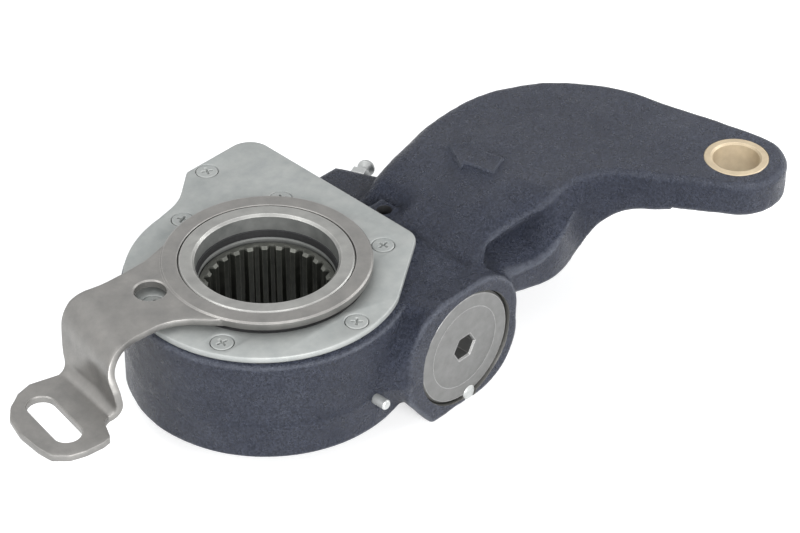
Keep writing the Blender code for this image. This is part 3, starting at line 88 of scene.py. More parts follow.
def adder(tree):
    """A call add(kind, settings, **inputs) for a node tree. An input is named as on the node, with
    _ for a space, or in_0, in_1 by its place. It is a value, an output, or a node for its first."""

    def add(kind, settings=None, **inputs):
        node = tree.nodes.new(kind if kind.startswith("NodeGroup") else "ShaderNode" + kind)
        for key, value in (settings or {}).items():
            setattr(node, key, value)
        for key, value in inputs.items():
            by_place = key.startswith("in_") and key[3:].isdigit()
            socket = node.inputs[int(key[3:]) if by_place else key.replace("_", " ")]
            if isinstance(value, bpy.types.Node):
                value = value.outputs[0]
            if isinstance(value, bpy.types.NodeSocket):
                tree.links.new(value, socket)
            else:
                socket.default_value = value
        return node

    return add


def emptied(made):
    """A new material or world without its first nodes, and the call that adds nodes to it."""
    made.use_nodes = True
    made.node_tree.nodes.clear()
    return made, adder(made.node_tree)


def grey(level):
    """An even grey as a node takes it."""
    return (level, level, level, 1.0)


def maths(add, operation, *values, clamp=False):
    """What a Math node makes of its values."""
    settings = {"operation": operation, "use_clamp": clamp}
    inputs = {f"in_{place}": value for place, value in enumerate(values)}
    return add("Math", settings, **inputs)


def seen_white(add):
    """1 on rays from the camera, from a mirror-like surface or through glass, and 0 on the rest."""
    path = add("LightPath").outputs
    seen = maths(add, "MAXIMUM", path["Is Camera Ray"], path["Is Glossy Ray"])
    return maths(add, "MAXIMUM", seen, path["Is Transmission Ray"])


def soft_box(name, direction, distance, size, power):
    """A square lamp in a direction from the object, facing it."""
    light = bpy.data.lights.new(name, "AREA")
    light.size, light.energy = size, power
    toward = Vector(direction).normalized()
    place = TARGET + distance * toward
    turn = toward.to_track_quat("Z", "Y").to_matrix().to_4x4()
    new_object(name, light).matrix_world = Matrix.Translation(place) @ turn


# The world is plain white where it is seen, and a weaker even light on what it shines on.
world, add = emptied(bpy.data.worlds.new("white_room"))
shining = add("Background", Color=(0.95, 0.98, 1.0, 1.0), Strength=0.52)
seen = add("Background", Color=grey(1.0), Strength=1.0)
add("OutputWorld", Surface=add("MixShader", in_0=seen_white(add), in_1=shining, in_2=seen))
bpy.context.scene.world = world
soft_box("wide_box", (-0.30, 0.35, 0.90), 1.1, 0.80, 2.2)
soft_box("left_box", (-0.90, 0.10, 0.55), 1.0, 0.45, 3.0)
soft_box("front_box", (-0.45, -0.85, 0.38), 1.1, 0.60, 13.0)
soft_box("right_box", (0.70, -0.75, 0.55), 1.1, 0.50, 1.0)
soft_box("eye_box", (0.77, -0.385, 0.51), 0.25, 0.10, 0.15)

# The card reflects light as card does, and glows besides where it is seen.
look, add = emptied(bpy.data.materials.new("white_card"))
card = add("BsdfDiffuse", Color=grey(0.80))
glow = add("Emission", Color=grey(1.0), Strength=0.50)
dark = add("Emission", Color=grey(0.0), Strength=0.0)
seen = add("MixShader", in_0=seen_white(add), in_1=dark, in_2=glow)
add("OutputMaterial", Surface=add("AddShader", in_0=card, in_1=seen))
CARD_HALF = 3.0
card_z = cad_box[0][2] - 0.0002
card_mesh = bpy.data.meshes.new("card")
corners = [(x * CARD_HALF, y * CARD_HALF, card_z) for x, y in ((-1, -1), (1, -1), (1, 1), (-1, 1))]
card_mesh.from_pydata(corners, [], [(0, 1, 2, 3)])
card_mesh.materials.append(look)
new_object("card", card_mesh)


# Lever casting: hub, worm boss, barrel, hooked lever, eye and pads, one ductile iron casting,
# sand cast, then painted dark blue-grey all over. It is worked out as a distance field, whose
# zero level is the skin, so that every corner where two forms meet gets its cast fillet. The deck
# is the flat under the cover's straight side, the lobe carries the cover's rear corner, and the
# valley is a shallow dip between deck and lever.
MM = 0.001
FILLET, LEVER_FILLET, PAD_FILLET, VENT_FILLET, CAST_EDGE = 3.0, 5.0, 4.0, 1.2, 1.5
HUB_FOOT_R, HUB_TOP_R, HUB_TOP = 47.3, 47.0, 36.4
PARTING_Z, PARTING_RIDGE, PARTING_WIDTH = 12.5, 0.22, 0.7
LOBE_LOW = 13.4
PLATE_R, PLATE_RIGHT, PLATE_REAR, PLATE_REAR_RIGHT = 45.5, 47.2, 58.5, 49.2
PLATE_MIDDLE = (-0.6, 0.6)
WORM_X, WORM_Z = 39.008, 13.4
BOSS_FRONT, BOSS_BACK, BOSS_DRAFT = -52.0, -20.0, 1.6
BOSS = [(WORM_X + 25, WORM_Z + 23.6, 19), (WORM_X - 26.7, WORM_Z + 23.6, 18)]
BOSS += [(WORM_X - 26.7, WORM_Z - 8.5, 5), (WORM_X - 15.5, WORM_Z - 22.8, 1.8)]
BOSS += [(WORM_X + 25, WORM_Z - 22.8, 19)]
DECK_X, DECK_Y, DECK_Z, DECK_CORNER_X = (16.3, 53.5), (-47.8, 6.0), (14.4, 35.1), 25.0
BARREL_R, BARREL_FRONT, BARREL_REAR = 20.5, -25.5, 59.2
LEVER_ROOT, LEVER_FRONT, LEVER_REAR = 50.0, -44.0, 15.4
LEVER_LOW, LEVER_ROOT_TOP, LEVER_TOP, LEVER_CLIMB, LEVER_STEEP = 15.0, 34.9, 45.0, 38.0, 0.53
FRONT_RUN, REAR_RUN = 47.5, 54.9  # length of the lever's two sides, from its root to the bend
BEND_STATION, FRONT_SHARE, REAR_SHARE, EYE_STATION = 101.2, 11.0, 26.0, 146.0
SCOOP_DEPTH, BROW_DROP, BROW_LEAN, VENT_DIP, LEVER_MIDDLE = 6.2, 3.0, 1.8, 4.5, -14.0
VALLEY_X, VALLEY_WIDTH, VALLEY_DEPTH = 50.6, 1.7, 1.1
FRONT_BEND, FRONT_BEND_R, FRONT_TURN = np.array([97.5, -66.0]), 22.0, math.radians(57)
REAR_BEND, REAR_BEND_R, REAR_TURN = np.array([104.9, -36.6]), 52.0, math.radians(79)
REAR_ROOT = [(86, 14.9), (77, 14.1), (68, 13.2), (LEVER_ROOT, 11.5)]
UNDERSIDE_AT = [55, 66, 73.5, 81, 88, 96, 107, 112, 116, 121, 125, 129, 133.7, 138, 143]
UNDERSIDE = [0.28, 0.22, 0.11, 0.02, 0, -0.02, 0, 0.05, 0.15, 0.32, 0.44, 0.55, 0.69, 0.88, 1]
FLARE_AT = [66, 75.7, 81.4, 86.2, 90.1, 93.8, 97.5, 104]
FLARE = [4, 4.2, 5, 5.2, 4.5, 3.5, 2.5, 0]
FLANGE_AT = [55, 66, 73, 79, 83, 87, 90, 98]
FLANGE = [29.5, 26.8, 25.6, 24.8, 26, 28, 29.7, 36]
EYE, EYE_R, EYE_BOTTOM = np.array([148.1, -74.1]), 17.0, 32.0
GREASE_PAD = [(50, 10), (50, 34.5), (66, 34.5), (72.5, 20), (76, 10)]
VENT_PAD_X, VENT_PAD_Y, VENT_PAD_Z, VENT = (47.4, 57.4), (-8.0, 4.0), (17.4, 36.4), (53.0, -1.4)
ARROW = [(86.4, 0), (92.9, -5), (90.6, -7.6), (92.5, -18.3), (84.7, -21.2)]
ARROW += [(82.6, -9.9), (80.3, -10.7)]
ARROW_RISE = 0.75
GRID = 0.95  # side of the cells that the skin is drawn in


def arc(centre, radius, start, end, count):
    """Points on a circle from one angle to another, both included."""
    turn = np.linspace(start, end, count)
    return np.column_stack([centre[0] + radius * np.cos(turn), centre[1] + radius * np.sin(turn)])


def softened(corners):
    """Closed outline from (x, y, radius) corners: each corner becomes the arc that touches both of
    its sides, with a point every 7 degrees, and one of radius 0 stays a point."""
    points, step = [], math.radians(7)
    for i, (x, y, radius) in enumerate(corners):
        here = np.array([x, y], dtype=float)
        if radius == 0:
            points.append(here[None])
            continue
        before = np.array(corners[i - 1][:2]) - here
        after = np.array(corners[(i + 1) % len(corners)][:2]) - here
        before /= np.hypot(*before)
        after /= np.hypot(*after)
        half = math.acos(np.clip(before @ after, -1, 1)) / 2
        middle = here + (before + after) / np.hypot(*(before + after)) * radius / math.sin(half)
        first = here + before * radius / math.tan(half) - middle
        last = here + after * radius / math.tan(half) - middle
        begin = math.atan2(first[1], first[0])
        turn = math.atan2(first[0] * last[1] - first[1] * last[0], first @ last)
        points.append(arc(middle, radius, begin, begin + turn, max(3, int(abs(turn) / step) + 1)))
    return np.concatenate(points)


def outline_distance(px, py, outline):
    """Signed distance to a closed outline: the least distance to its sides, negative where a line
    to the right of the point crosses the outline an odd number of times."""
    here = np.asarray(outline, dtype=float)
    there = np.roll(here, -1, axis=0)
    ex, ey = (there - here).T
    wx, wy = px[..., None] - here[:, 0], py[..., None] - here[:, 1]
    share = np.clip((wx * ex + wy * ey) / (ex**2 + ey**2), 0, 1)
    distance = np.sqrt(np.min((wx - ex * share) ** 2 + (wy - ey * share) ** 2, axis=-1))
    crossing = (wy < 0) != (py[..., None] < there[:, 1])
    slope = ex / np.where(ey == 0, 1e-9, ey)
    inside = np.sum(crossing & (wx < wy * slope), axis=-1) % 2 == 1
    return np.where(inside, -distance, distance)


def joined(a, b, radius):
    """Union of two fields, with a round fillet of the radius where they meet."""
    corner = np.hypot(np.maximum(radius - a, 0), np.maximum(radius - b, 0))
    return np.maximum(radius, np.minimum(a, b)) - corner


def common(a, b, radius):
    """What two fields share, with its outer edge rounded to the radius."""
    corner = np.hypot(np.maximum(radius + a, 0), np.maximum(radius + b, 0))
    return np.minimum(-radius, np.maximum(a, b)) + corner


def eased(share):
    """Smooth step from 0 to 1."""
    share = np.clip(share, 0, 1)
    return share * share * (3 - 2 * share)


def ramp(value, start, end):
    """Smooth step of a value, from 0 at the start to 1 at the end."""
    return eased((value - start) / (end - start))


def cover_outline(grow):
    """Cover plate in plan: round the hub, straight along the worm, and out to a rear corner."""
    left, right, rear = 19.3 - grow, PLATE_RIGHT + grow, PLATE_REAR + grow
    circle = arc(PLATE_MIDDLE, PLATE_R + grow, math.radians(-65), math.radians(-264), 90)
    corners = [(right, -22.0 - 0.5 * grow, 7.0), *((x, y, 0) for x, y in circle)]
    corners += [(left - 13.2, 48.1 + grow, 20.0), (left, rear, 2.8)]
    corners += [(PLATE_REAR_RIGHT + grow, rear, 8.0)]
    return softened(corners)[::-1]


def lever_outline():
    """The lever in plan: its front and rear sides, bent round their centres, to touch the eye."""
    front = arc(FRONT_BEND, FRONT_BEND_R, math.pi / 2, math.pi / 2 - FRONT_TURN, 14)
    rear = arc(REAR_BEND, REAR_BEND_R, math.pi / 2 - REAR_TURN, math.pi / 2, 22)
    round_eye = arc(EYE, EYE_R, math.pi * 1.5 - FRONT_TURN, 2.5 * math.pi - REAR_TURN, 28)
    return np.concatenate([[(LEVER_ROOT, LEVER_FRONT)], front, round_eye, rear, REAR_ROOT])


def lever_station(x, y):
    """How far along the lever a point is, as the X of the middle between its two sides: straight
    across up to the bend, then by the angle about the front bend's centre."""
    across = np.clip((y - LEVER_FRONT) / (LEVER_REAR - LEVER_FRONT), 0, 1)
    run = FRONT_RUN + (REAR_RUN - FRONT_RUN) * across
    straight = LEVER_ROOT + (BEND_STATION - LEVER_ROOT) * (x - LEVER_ROOT) / run
    straight = np.minimum(straight, BEND_STATION)
    dx, dy = x - FRONT_BEND[0], y - FRONT_BEND[1]
    skew = 0.08 * np.clip((np.hypot(dx, dy) - FRONT_BEND_R) / 55, 0, 1)
    share = (np.arctan2(dx, np.maximum(dy, 1e-6)) - skew) / (FRONT_TURN - skew)
    share = np.clip(share, 0, 1.2)
    front, rear = np.sin(FRONT_TURN * share), np.sin(REAR_TURN * share)
    bent = BEND_STATION + FRONT_SHARE * front + REAR_SHARE * rear
    return np.where((share > 0) & (dy > 0), bent, np.where(dy > 0, straight, EYE_STATION))


def lever_rise(station):
    """Share of the way up the curve that the lever's top follows from the hub."""
    return np.clip((station - LEVER_ROOT) / LEVER_CLIMB, 0, 1)


def lever_top(station):
    """Height of the lever's top: a curve from the hub that has become level at the bend."""
    return LEVER_ROOT_TOP + (LEVER_TOP - LEVER_ROOT_TOP) * (1 - (1 - lever_rise(station)) ** 2)


def evened(at, places, values, reach=5.0):
    """A table's value at a place, evened out over a reach to both sides."""
    return sum(np.interp(at + d, places, values) for d in np.linspace(-reach, reach, 5)) / 5


def lever_field(x, y, z):
    """The lever: its plan, between a top that curves up from the hub and an underside that comes up
    to the thin neck. Along the front a scoop lies above a flange, which flares out downwards."""
    station = lever_station(x, y)
    scoop = ramp(x, 93, 80) * ramp(x, 53, 64)
    top = lever_top(station) - VENT_DIP * ramp(y, -9, -3) * ramp(x, 64, 54)
    top = top - BROW_DROP * scoop * ramp(y, -26, -44)
    raised = evened(station, UNDERSIDE_AT, UNDERSIDE, 2.5)
    at_eye = ramp(np.hypot(x - EYE[0], y - EYE[1]), 38, 18)
    bottom = LEVER_LOW + (EYE_BOTTOM - LEVER_LOW) * (raised + (1 - raised) * at_eye)
    side = outline_distance(x, y, lever_outline())
    flange = evened(x, FLANGE_AT, FLANGE)
    brow = np.maximum(top - 1.2, flange + 0.5)
    share = np.clip((brow - z) / np.maximum(brow - flange, 0.5), 0, 1)
    shift = evened(x, FLARE_AT, FLARE, 3.0) * share**3
    shift = shift - SCOOP_DEPTH * scoop * np.sin(np.pi * share) ** 1.7
    shift = shift - BROW_LEAN * scoop * ramp(x, 88, 62) * (1 - share)
    side = side - np.where(y < LEVER_MIDDLE, shift, 0)
    steep = np.sqrt(1 + (LEVER_STEEP * (1 - lever_rise(station))) ** 2)
    upright = np.maximum((z - top) / steep, bottom - z)
    brow_edge = 3.2 + 2.3 * ramp(y, -10, -22)
    edge = 1.4 + 1.1 * ramp(z, 18, 26) + brow_edge * scoop * (z > 30)
    return common(side, upright, edge)


def slab(x, low, high):
    """Field of what lies between two planes across an axis."""
    return np.maximum(low - x, x - high)


def casting_field(x, y, z):
    """Distance field of the rough casting in millimetres, before anything is machined."""
    hub = np.hypot(x, y) - (HUB_FOOT_R + (HUB_TOP_R - HUB_FOOT_R) * z / HUB_TOP)
    hub = hub - PARTING_RIDGE * np.exp(-(((z - PARTING_Z) / PARTING_WIDTH) ** 2))
    hub = common(hub, slab(z, 0.0, HUB_TOP), 0.7)
    lobe = common(outline_distance(x, y, cover_outline(-0.2)), slab(z, LOBE_LOW, HUB_TOP), 1.0)
    hub = joined(hub, lobe, FILLET)
    corner = 0.74 * (0.9 * (DECK_CORNER_X - x) + DECK_Y[0] - y)
    deck = np.maximum(np.maximum(slab(x, *DECK_X), slab(y, *DECK_Y)), corner)
    deck = common(deck, slab(z, *DECK_Z), CAST_EDGE)
    boss = outline_distance(x, z, softened(BOSS)) + BOSS_DRAFT * ramp(y, -50.5, -42.5)
    boss = common(boss, slab(y, BOSS_FRONT, BOSS_BACK), CAST_EDGE)
    barrel = np.hypot(x - WORM_X, z - WORM_Z) - BARREL_R
    barrel = common(barrel, slab(y, BARREL_FRONT, BARREL_REAR), CAST_EDGE)
    pad = common(outline_distance(x, y, GREASE_PAD), slab(z, 8.5, 30.0), 1.6)
    vent = np.maximum(slab(x, *VENT_PAD_X), slab(y, *VENT_PAD_Y))
    vent = common(vent, slab(z, *VENT_PAD_Z), 0.8)
    eye = np.hypot(x - EYE[0], y - EYE[1]) - EYE_R
    eye = common(eye, slab(z, EYE_BOTTOM, LEVER_TOP), 2.5)
    lever = np.minimum(lever_field(x, y, z), eye)
    whole = joined(joined(barrel, boss, FILLET), pad, PAD_FILLET)
    wider = 9.0 * ramp(z, 2, 14) * ramp(y, -12, -24) * ramp(z, 41, 19)
    whole = joined(whole, hub, FILLET + wider)
    whole = joined(joined(whole, lever, LEVER_FILLET), deck, FILLET)
    valley = VALLEY_DEPTH * np.exp(-(((x - VALLEY_X) / VALLEY_WIDTH) ** 2))
    valley = valley * ramp(y, -9, -15) * ramp(y, -46, -41) * ramp(z, 31, 34)
    return joined(whole + valley, vent, VENT_FILLET)


def skin(field, low, high, step):
    """Closed mesh on a field's zero level. Every grid cell that it passes through gets one point,
    the mean of the crossings on the cell's edges, and every grid edge that it crosses gets a quad
    of the four cells round it. The points are then moved down the field's slope onto the level."""
    axes = [np.arange(a, b + step, step) for a, b in zip(low, high)]
    value = field(*np.meshgrid(*axes, indexing="ij", sparse=True))
    solid = value < 0
    nx, ny, nz = (n - 1 for n in value.shape)
    corners = np.argwhere(np.ones((2, 2, 2)))
    count = sum(solid[i : i + nx, j : j + ny, k : k + nz].astype(np.int8) for i, j, k in corners)
    cut = (count > 0) & (count < 8)
    cells = np.argwhere(cut)
    number = np.full(cut.shape, -1)
    number[cut] = np.arange(len(cells))
    at = cells[:, None, :] + corners
    held = value[at[..., 0], at[..., 1], at[..., 2]]
    total, hits = np.zeros((len(cells), 3)), np.zeros(len(cells))
    for a in range(8):
        for b in range(a + 1, 8):
            if np.abs(corners[a] - corners[b]).sum() == 1:
                crossed = (held[:, a] < 0) != (held[:, b] < 0)
                gap = np.where(crossed, held[:, a] - held[:, b], 1.0)
                share = np.where(crossed, held[:, a] / gap, 0.0)
                between = corners[a] + share[:, None] * (corners[b] - corners[a])
                total += np.where(crossed[:, None], between, 0.0)
                hits += crossed
    points = np.array(low) + (cells + total / hits[:, None]) * step
    quads = []
    for axis in range(3):
        node = np.argwhere(np.diff(solid, axis=axis))
        u, v = np.roll(np.eye(3, dtype=int), -axis - 1, axis=0)[:2]
        ring = [number[tuple((node - shift).T)] for shift in (0 * u, u, u + v, v)]
        ring = np.stack(ring, axis=1)
        inward = ~solid[tuple(node.T)]
        ring[inward] = ring[inward][:, ::-1]
        quads.append(ring)
    for _ in range(3):
        points -= to_level(field, points, step / 2)
    return points, np.concatenate(quads)


def slope(field, points, reach=0.05):
    """A field's gradient at points, from its differences over a short reach."""
    shifts = np.eye(3) * reach
    sides = [field(*(points + s).T) - field(*(points - s).T) for s in shifts]
    return np.stack(sides, axis=1) / (2 * reach)


def to_level(field, points, most):
    """The move that brings points onto the zero level, no longer than most."""
    gradient = slope(field, points)
    size = np.maximum(np.sum(gradient**2, axis=1), 0.05)
    return gradient * np.clip(field(*points.T) / size, -most, most)[:, None]


def bend_of_skin(field, points, reach):
    """How the skin bends at each point: above 0 on outer edges and below 0 in hollows, from the
    field's mean over points a reach away along the three axes."""
    shifts = np.concatenate([np.eye(3), -np.eye(3)]) * reach
    mean = sum(field(*(points + s).T) for s in shifts) / len(shifts)
    return (mean - field(*points.T)) / reach


def cast_waves(points):
    """Slow unevenness of a sand-cast skin: a sum of sine waves in several directions."""
    rng = np.random.default_rng(7)
    height = np.zeros(len(points))
    for length, size in ((23.0, 0.09), (14.0, 0.07), (8.5, 0.05), (5.2, 0.035), (3.6, 0.02)):
        for _ in range(4):
            way = rng.normal(size=3)
            way *= 2 * math.pi / length / np.linalg.norm(way)
            height += size * 0.5 * np.sin(points @ way + rng.uniform(0, 6.3))
    return height


def new_piece(name, points, faces, looks=(), corner=30.0):
    """An object with a mesh of these points, given in millimetres, and faces. Points that coincide
    are merged, faces point outwards, and edges sharper than the corner's degrees stay sharp."""
    mesh = bpy.data.meshes.new(name)
    faces = [[int(i) for i in face] for face in faces]
    mesh.from_pydata((np.asarray(points) * MM).tolist(), [], faces)
    work = bmesh.new()
    work.from_mesh(mesh)
    bmesh.ops.remove_doubles(work, verts=work.verts, dist=2e-7)
    bmesh.ops.dissolve_degenerate(work, edges=work.edges, dist=1e-7)
    bmesh.ops.recalc_face_normals(work, faces=work.faces)
    work.to_mesh(mesh)
    work.free()
    for look in looks:
        mesh.materials.append(look)
    made = new_object(name, mesh)
    shade(made, corner)
    return made


def shade(made, corner=30.0):
    """Smooth shading between faces, with edges sharper than the corner's degrees left sharp."""
    mesh = made.data
    mesh.polygons.foreach_set("use_smooth", np.ones(len(mesh.polygons), dtype=bool))
    mesh.set_sharp_from_angle(angle=math.radians(corner))
    mesh.update()


def grid_faces(rows, columns, ring=False):
    """Quads between neighbours on a grid. Its columns run all round, and in a ring its rows too."""
    row = np.arange(rows if ring else rows - 1)
    row, column = (part.ravel() for part in np.meshgrid(row, np.arange(columns), indexing="ij"))
    here, under, beside = row * columns, (row + 1) % rows * columns, (column + 1) % columns
    return np.stack([here + column, here + beside, under + beside, under + column], axis=1)


def axis_frame(origin, along=(0, 0, 1), first=(1, 0, 0)):
    """Where a piece goes: an origin and three axes, Z along and X as near first as it can be."""
    z = np.array(along, dtype=float) / np.linalg.norm(along)
    x = np.array(first, dtype=float) - z * np.dot(first, z)
    x /= np.linalg.norm(x)
    return np.array(origin, dtype=float), np.stack([x, np.cross(z, x), z])


def placed(points, place):
    """Points of a piece's own axes, put where its frame is."""
    origin, axes = place
    return origin + np.asarray(points) @ axes


WORM_AXIS = axis_frame((WORM_X, 0, WORM_Z), (0, 1, 0))
UPRIGHT = axis_frame((0, 0, 0))


def turned(name, profile, place=UPRIGHT, steps=128, looks=(), ring=True):
    """A turned piece: a profile of (radius, height) carried round the frame's Z. A ring's profile
    is closed on itself, and any other starts and ends on the axis."""
    turn = np.linspace(0, 2 * math.pi, steps, endpoint=False)
    radius, height = np.array(profile, dtype=float).T[..., None]
    grid = np.broadcast_arrays(radius * np.cos(turn), radius * np.sin(turn), height)
    points = placed(np.stack(grid, axis=-1).reshape(-1, 3), place)
    return new_piece(name, points, grid_faces(len(profile), steps, ring), looks)


def rod(name, radius, low, high, place, steps, looks):
    """A round rod between two heights of its frame."""
    profile = [(0, low), (radius, low), (radius, high), (0, high)]
    return turned(name, profile, place, steps, looks, False)


def stacked(name, outlines, rows, place=UPRIGHT, looks=(), corner=30.0):
    """A flat piece or a cutter drawn up from outlines through rows of (inset, height), and closed
    at the first and the last. The first outline goes round it, the others round its holes."""
    faces, points, rims = [], [], ([], [])
    start = 0
    for turn, outline in enumerate(outlines):
        outline = np.asarray(outline, dtype=float)
        ahead = np.roll(outline, -1, axis=0) - outline
        area = np.sum(outline[:, 0] * ahead[:, 1] - outline[:, 1] * ahead[:, 0])
        if (area > 0) != (turn == 0):
            outline = outline[::-1]
            ahead = np.roll(outline, -1, axis=0) - outline
        side = np.column_stack([-ahead[:, 1], ahead[:, 0]]) / np.hypot(*ahead.T)[:, None]
        inward = side + np.roll(side, 1, axis=0)
        inward /= np.maximum(np.sum(inward * side, axis=1), 0.3)[:, None]
        for draw, height in rows:
            row = outline + inward * draw
            points.append(np.column_stack([row, np.full(len(row), height)]))
        for rim, row in zip(rims, (0, len(rows) - 1)):
            rim.append(start + row * len(outline) + np.arange(len(outline)))
        faces += (grid_faces(len(rows), len(outline)) + start).tolist()
        start += len(rows) * len(outline)
    points = np.concatenate(points)
    for rim in rims:
        order = np.concatenate(rim)
        loops = [[Vector(points[i]) for i in loop] for loop in rim]
        faces += [[order[i] for i in face] for face in tessellate_polygon(loops)]
    return new_piece(name, placed(points, place), faces, looks, corner)


def plate(name, outlines, low, high, edge, looks):
    """A flat piece between two heights, with an edge round at the top and the bottom."""
    near = 0.29 * edge
    rows = [(edge, low), (near, low + near), (0, low + edge)]
    rows += [(0, high - edge), (near, high - near), (edge, high)]
    return stacked(name, outlines, rows, UPRIGHT, looks, 50.0)


def hexagon(across):
    """Outline of a hexagon by its width across flats."""
    return arc((0, 0), across / math.sqrt(3), 0, math.pi * 5 / 3, 6)


def carved(body, *cutters, operation="DIFFERENCE", corner=30.0):
    """The body after its cutters, which are then gone. Cut faces keep the cutter's material."""
    for cutter in cutters:
        step = body.modifiers.new(cutter.name, "BOOLEAN")
        step.operation, step.object, step.solver = operation, cutter, "MANIFOLD"
        step.material_mode = "TRANSFER"
    graph = bpy.context.evaluated_depsgraph_get()
    mesh = bpy.data.meshes.new_from_object(body.evaluated_get(graph))
    mesh.name = body.name
    body.modifiers.clear()
    body.data = mesh
    for cutter in cutters:
        bpy.data.objects.remove(cutter)
    shade(body, corner)
    return body


def shader_group(name, inputs, outputs):
    """A new shader node group, with its sockets named by kind, and the call that adds nodes."""
    group = bpy.data.node_groups.new(name, "ShaderNodeTree")
    for kind, sockets in (("INPUT", inputs), ("OUTPUT", outputs)):
        for what, labels in sockets.items():
            for label in labels.split():
                group.interface.new_socket(label, in_out=kind, socket_type=f"NodeSocket{what}")
    add = adder(group)
    return group, add, add("NodeGroupInput").outputs


def effect(add, group, **inputs):
    """What a node group makes of its inputs."""
    return add("Group", {"node_tree": group}, **inputs)


def noise(add, at, scale, detail, rough=0.5):
    """Noise round a mean of 0.5, of this scale for one metre."""
    return add("TexNoise", Vector=at, Scale=scale, Detail=detail, Roughness=rough)


def mixed(add, share, first, second):
    """A colour between two, the first where the share is 0."""
    settings = {"data_type": "RGBA"}
    return add("Mix", settings, in_0=share, in_6=first, in_7=second).outputs[2]


def ranged(add, value, low, high, first, last):
    """A value's range, from low to high, carried over to one from first to last."""
    return add("MapRange", in_0=value, in_1=low, in_2=high, in_3=first, in_4=last)


# The three effects that most finishes here share: a colour that clouds into another, an edge mask
# broken up by noise, which lightens edges both for rubbing and as a painted highlight, and how
# sharp the edge is that a point lies on.
sockets = {"Vector": "Vector", "Float": "Scale Contrast", "Color": "First Second"}
cloud, add, given = shader_group("clouding", sockets, {"Color": "Color"})
spread = maths(add, "SUBTRACT", noise(add, given["Vector"], given["Scale"], 5.0, 0.6), 0.5)
spread = maths(add, "MULTIPLY_ADD", spread, given["Contrast"], 0.5, clamp=True)
add("NodeGroupOutput", Color=mixed(add, spread, given["First"], given["Second"]))

sockets = {"Vector": "Vector", "Float": "Scale Edge Start Full"}
wear_and_highlight_group, add, given = shader_group("edge_wear_and_highlight", sockets, {"Float": "Mask"})
half = maths(add, "MULTIPLY", given["Edge"], 0.5)
uneven = noise(add, given["Vector"], given["Scale"], 4.0)
lifted = maths(add, "MULTIPLY_ADD", uneven, given["Edge"], half)
add("NodeGroupOutput", Mask=ranged(add, lifted, given["Start"], given["Full"], 0.0, 1.0))

rim, add, given = shader_group("sharp_rims", {"Float": "Reach Gain"}, {"Float": "Edge"})
rounded = add("Bevel", {"samples": 4}, Radius=given["Reach"])
normal = add("NewGeometry").outputs["Normal"]
facing = add("VectorMath", {"operation": "DOT_PRODUCT"}, in_0=rounded, in_1=normal)
turned_away = maths(add, "SUBTRACT", 1.0, facing.outputs["Value"])
add("NodeGroupOutput", Edge=maths(add, "MULTIPLY", turned_away, given["Gain"], clamp=True))


def srgb(red, green, blue):
    """A colour as it is read off a screen, 0 to 255, in the linear values that nodes take."""
    levels = np.array([red, green, blue]) / 255
    low = levels / 12.92
    high = ((levels + 0.055) / 1.055) ** 2.4
    return (*np.where(levels <= 0.04045, low, high).tolist(), 1.0)


def metal_finish(name, first, second, rough, scale, bare_and_highlight=None, metallic=1.0, grain=0.00004):
    """A metal surface: colour that clouds between two, fine grain in its roughness and its bump,
    and a lighter colour on sharp edges, for metal rubbed through there and for a painted highlight
    along them. With metallic at 0 it is rubber or a dull coat."""
    look, add = emptied(bpy.data.materials.new(name))
    at = add("TexCoord").outputs["Object"]
    edge = effect(add, rim, Reach=0.0005, Gain=9.0)
    colours = {"First": srgb(*first), "Second": srgb(*second)}
    colour = effect(add, cloud, Vector=at, Scale=scale, Contrast=2.4, **colours)
    # Lighter colour on sharp edges: a painted highlight along them, and metal rubbed through there.
    wear_and_highlight_mask = effect(add, wear_and_highlight_group, Vector=at, Scale=700.0, Edge=edge, Start=0.3, Full=1.0)
    fine = noise(add, at, 1500.0, 4.0, 0.65)
    shader = add(
        "BsdfPrincipled",
        Base_Color=mixed(add, wear_and_highlight_mask, colour, srgb(*(bare_and_highlight or second))),
        Metallic=metallic,
        Roughness=ranged(add, fine, 0.25, 0.75, rough - 0.06, rough + 0.08),
        Normal=add("Bump", Height=fine, Distance=grain, Strength=0.6),
    )
    add("OutputMaterial", Surface=shader)
    return look


def stands_for(piece, node, body="housing_body"):
    """The piece is shown in place of the node and moves with its body."""
    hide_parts(node)
    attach(piece, body)


def places_of(mesh):
    """A mesh's points in millimetres, one row each."""
    places = np.empty(len(mesh.vertices) * 3)
    mesh.vertices.foreach_get("co", places)
    return places.reshape(-1, 3) / MM


def mark(mesh, label, values):
    """Keep a value for each point of a mesh, under the name by which its finish reads it."""
    values = values.astype(np.float32)
    mesh.attributes.new(label, "FLOAT", "POINT").data.foreach_set("value", values)


# Wet paint over cast iron: dark blue-grey, orange peel over the grain of the sand, lighter on the
# outer edges as a painted highlight that also stands for paint rubbed thin there, and darker in the
# hollows as painted shade.
paint, add = emptied(bpy.data.materials.new("casting_paint"))
at = add("TexCoord").outputs["Object"]
edge = add("Attribute", {"attribute_name": "edge"}).outputs["Fac"]
hollow = add("Attribute", {"attribute_name": "hollow"}).outputs["Fac"]
colours = {"First": srgb(56, 61, 77), "Second": srgb(77, 82, 97)}
colour = effect(add, cloud, Vector=at, Scale=42.0, Contrast=2.2, **colours)
pitted = ranged(add, noise(add, at, 1150.0, 4.0, 0.85), 0.42, 0.58, 0.9, 0.0)
colour = mixed(add, pitted, colour, srgb(34, 38, 50))
# Painted highlight on the outer edges, also standing for paint rubbed thin there.
wear_and_highlight_mask = effect(add, wear_and_highlight_group, Vector=at, Scale=520.0, Edge=edge, Start=0.35, Full=1.3)
colour = mixed(add, wear_and_highlight_mask, colour, srgb(110, 114, 125))
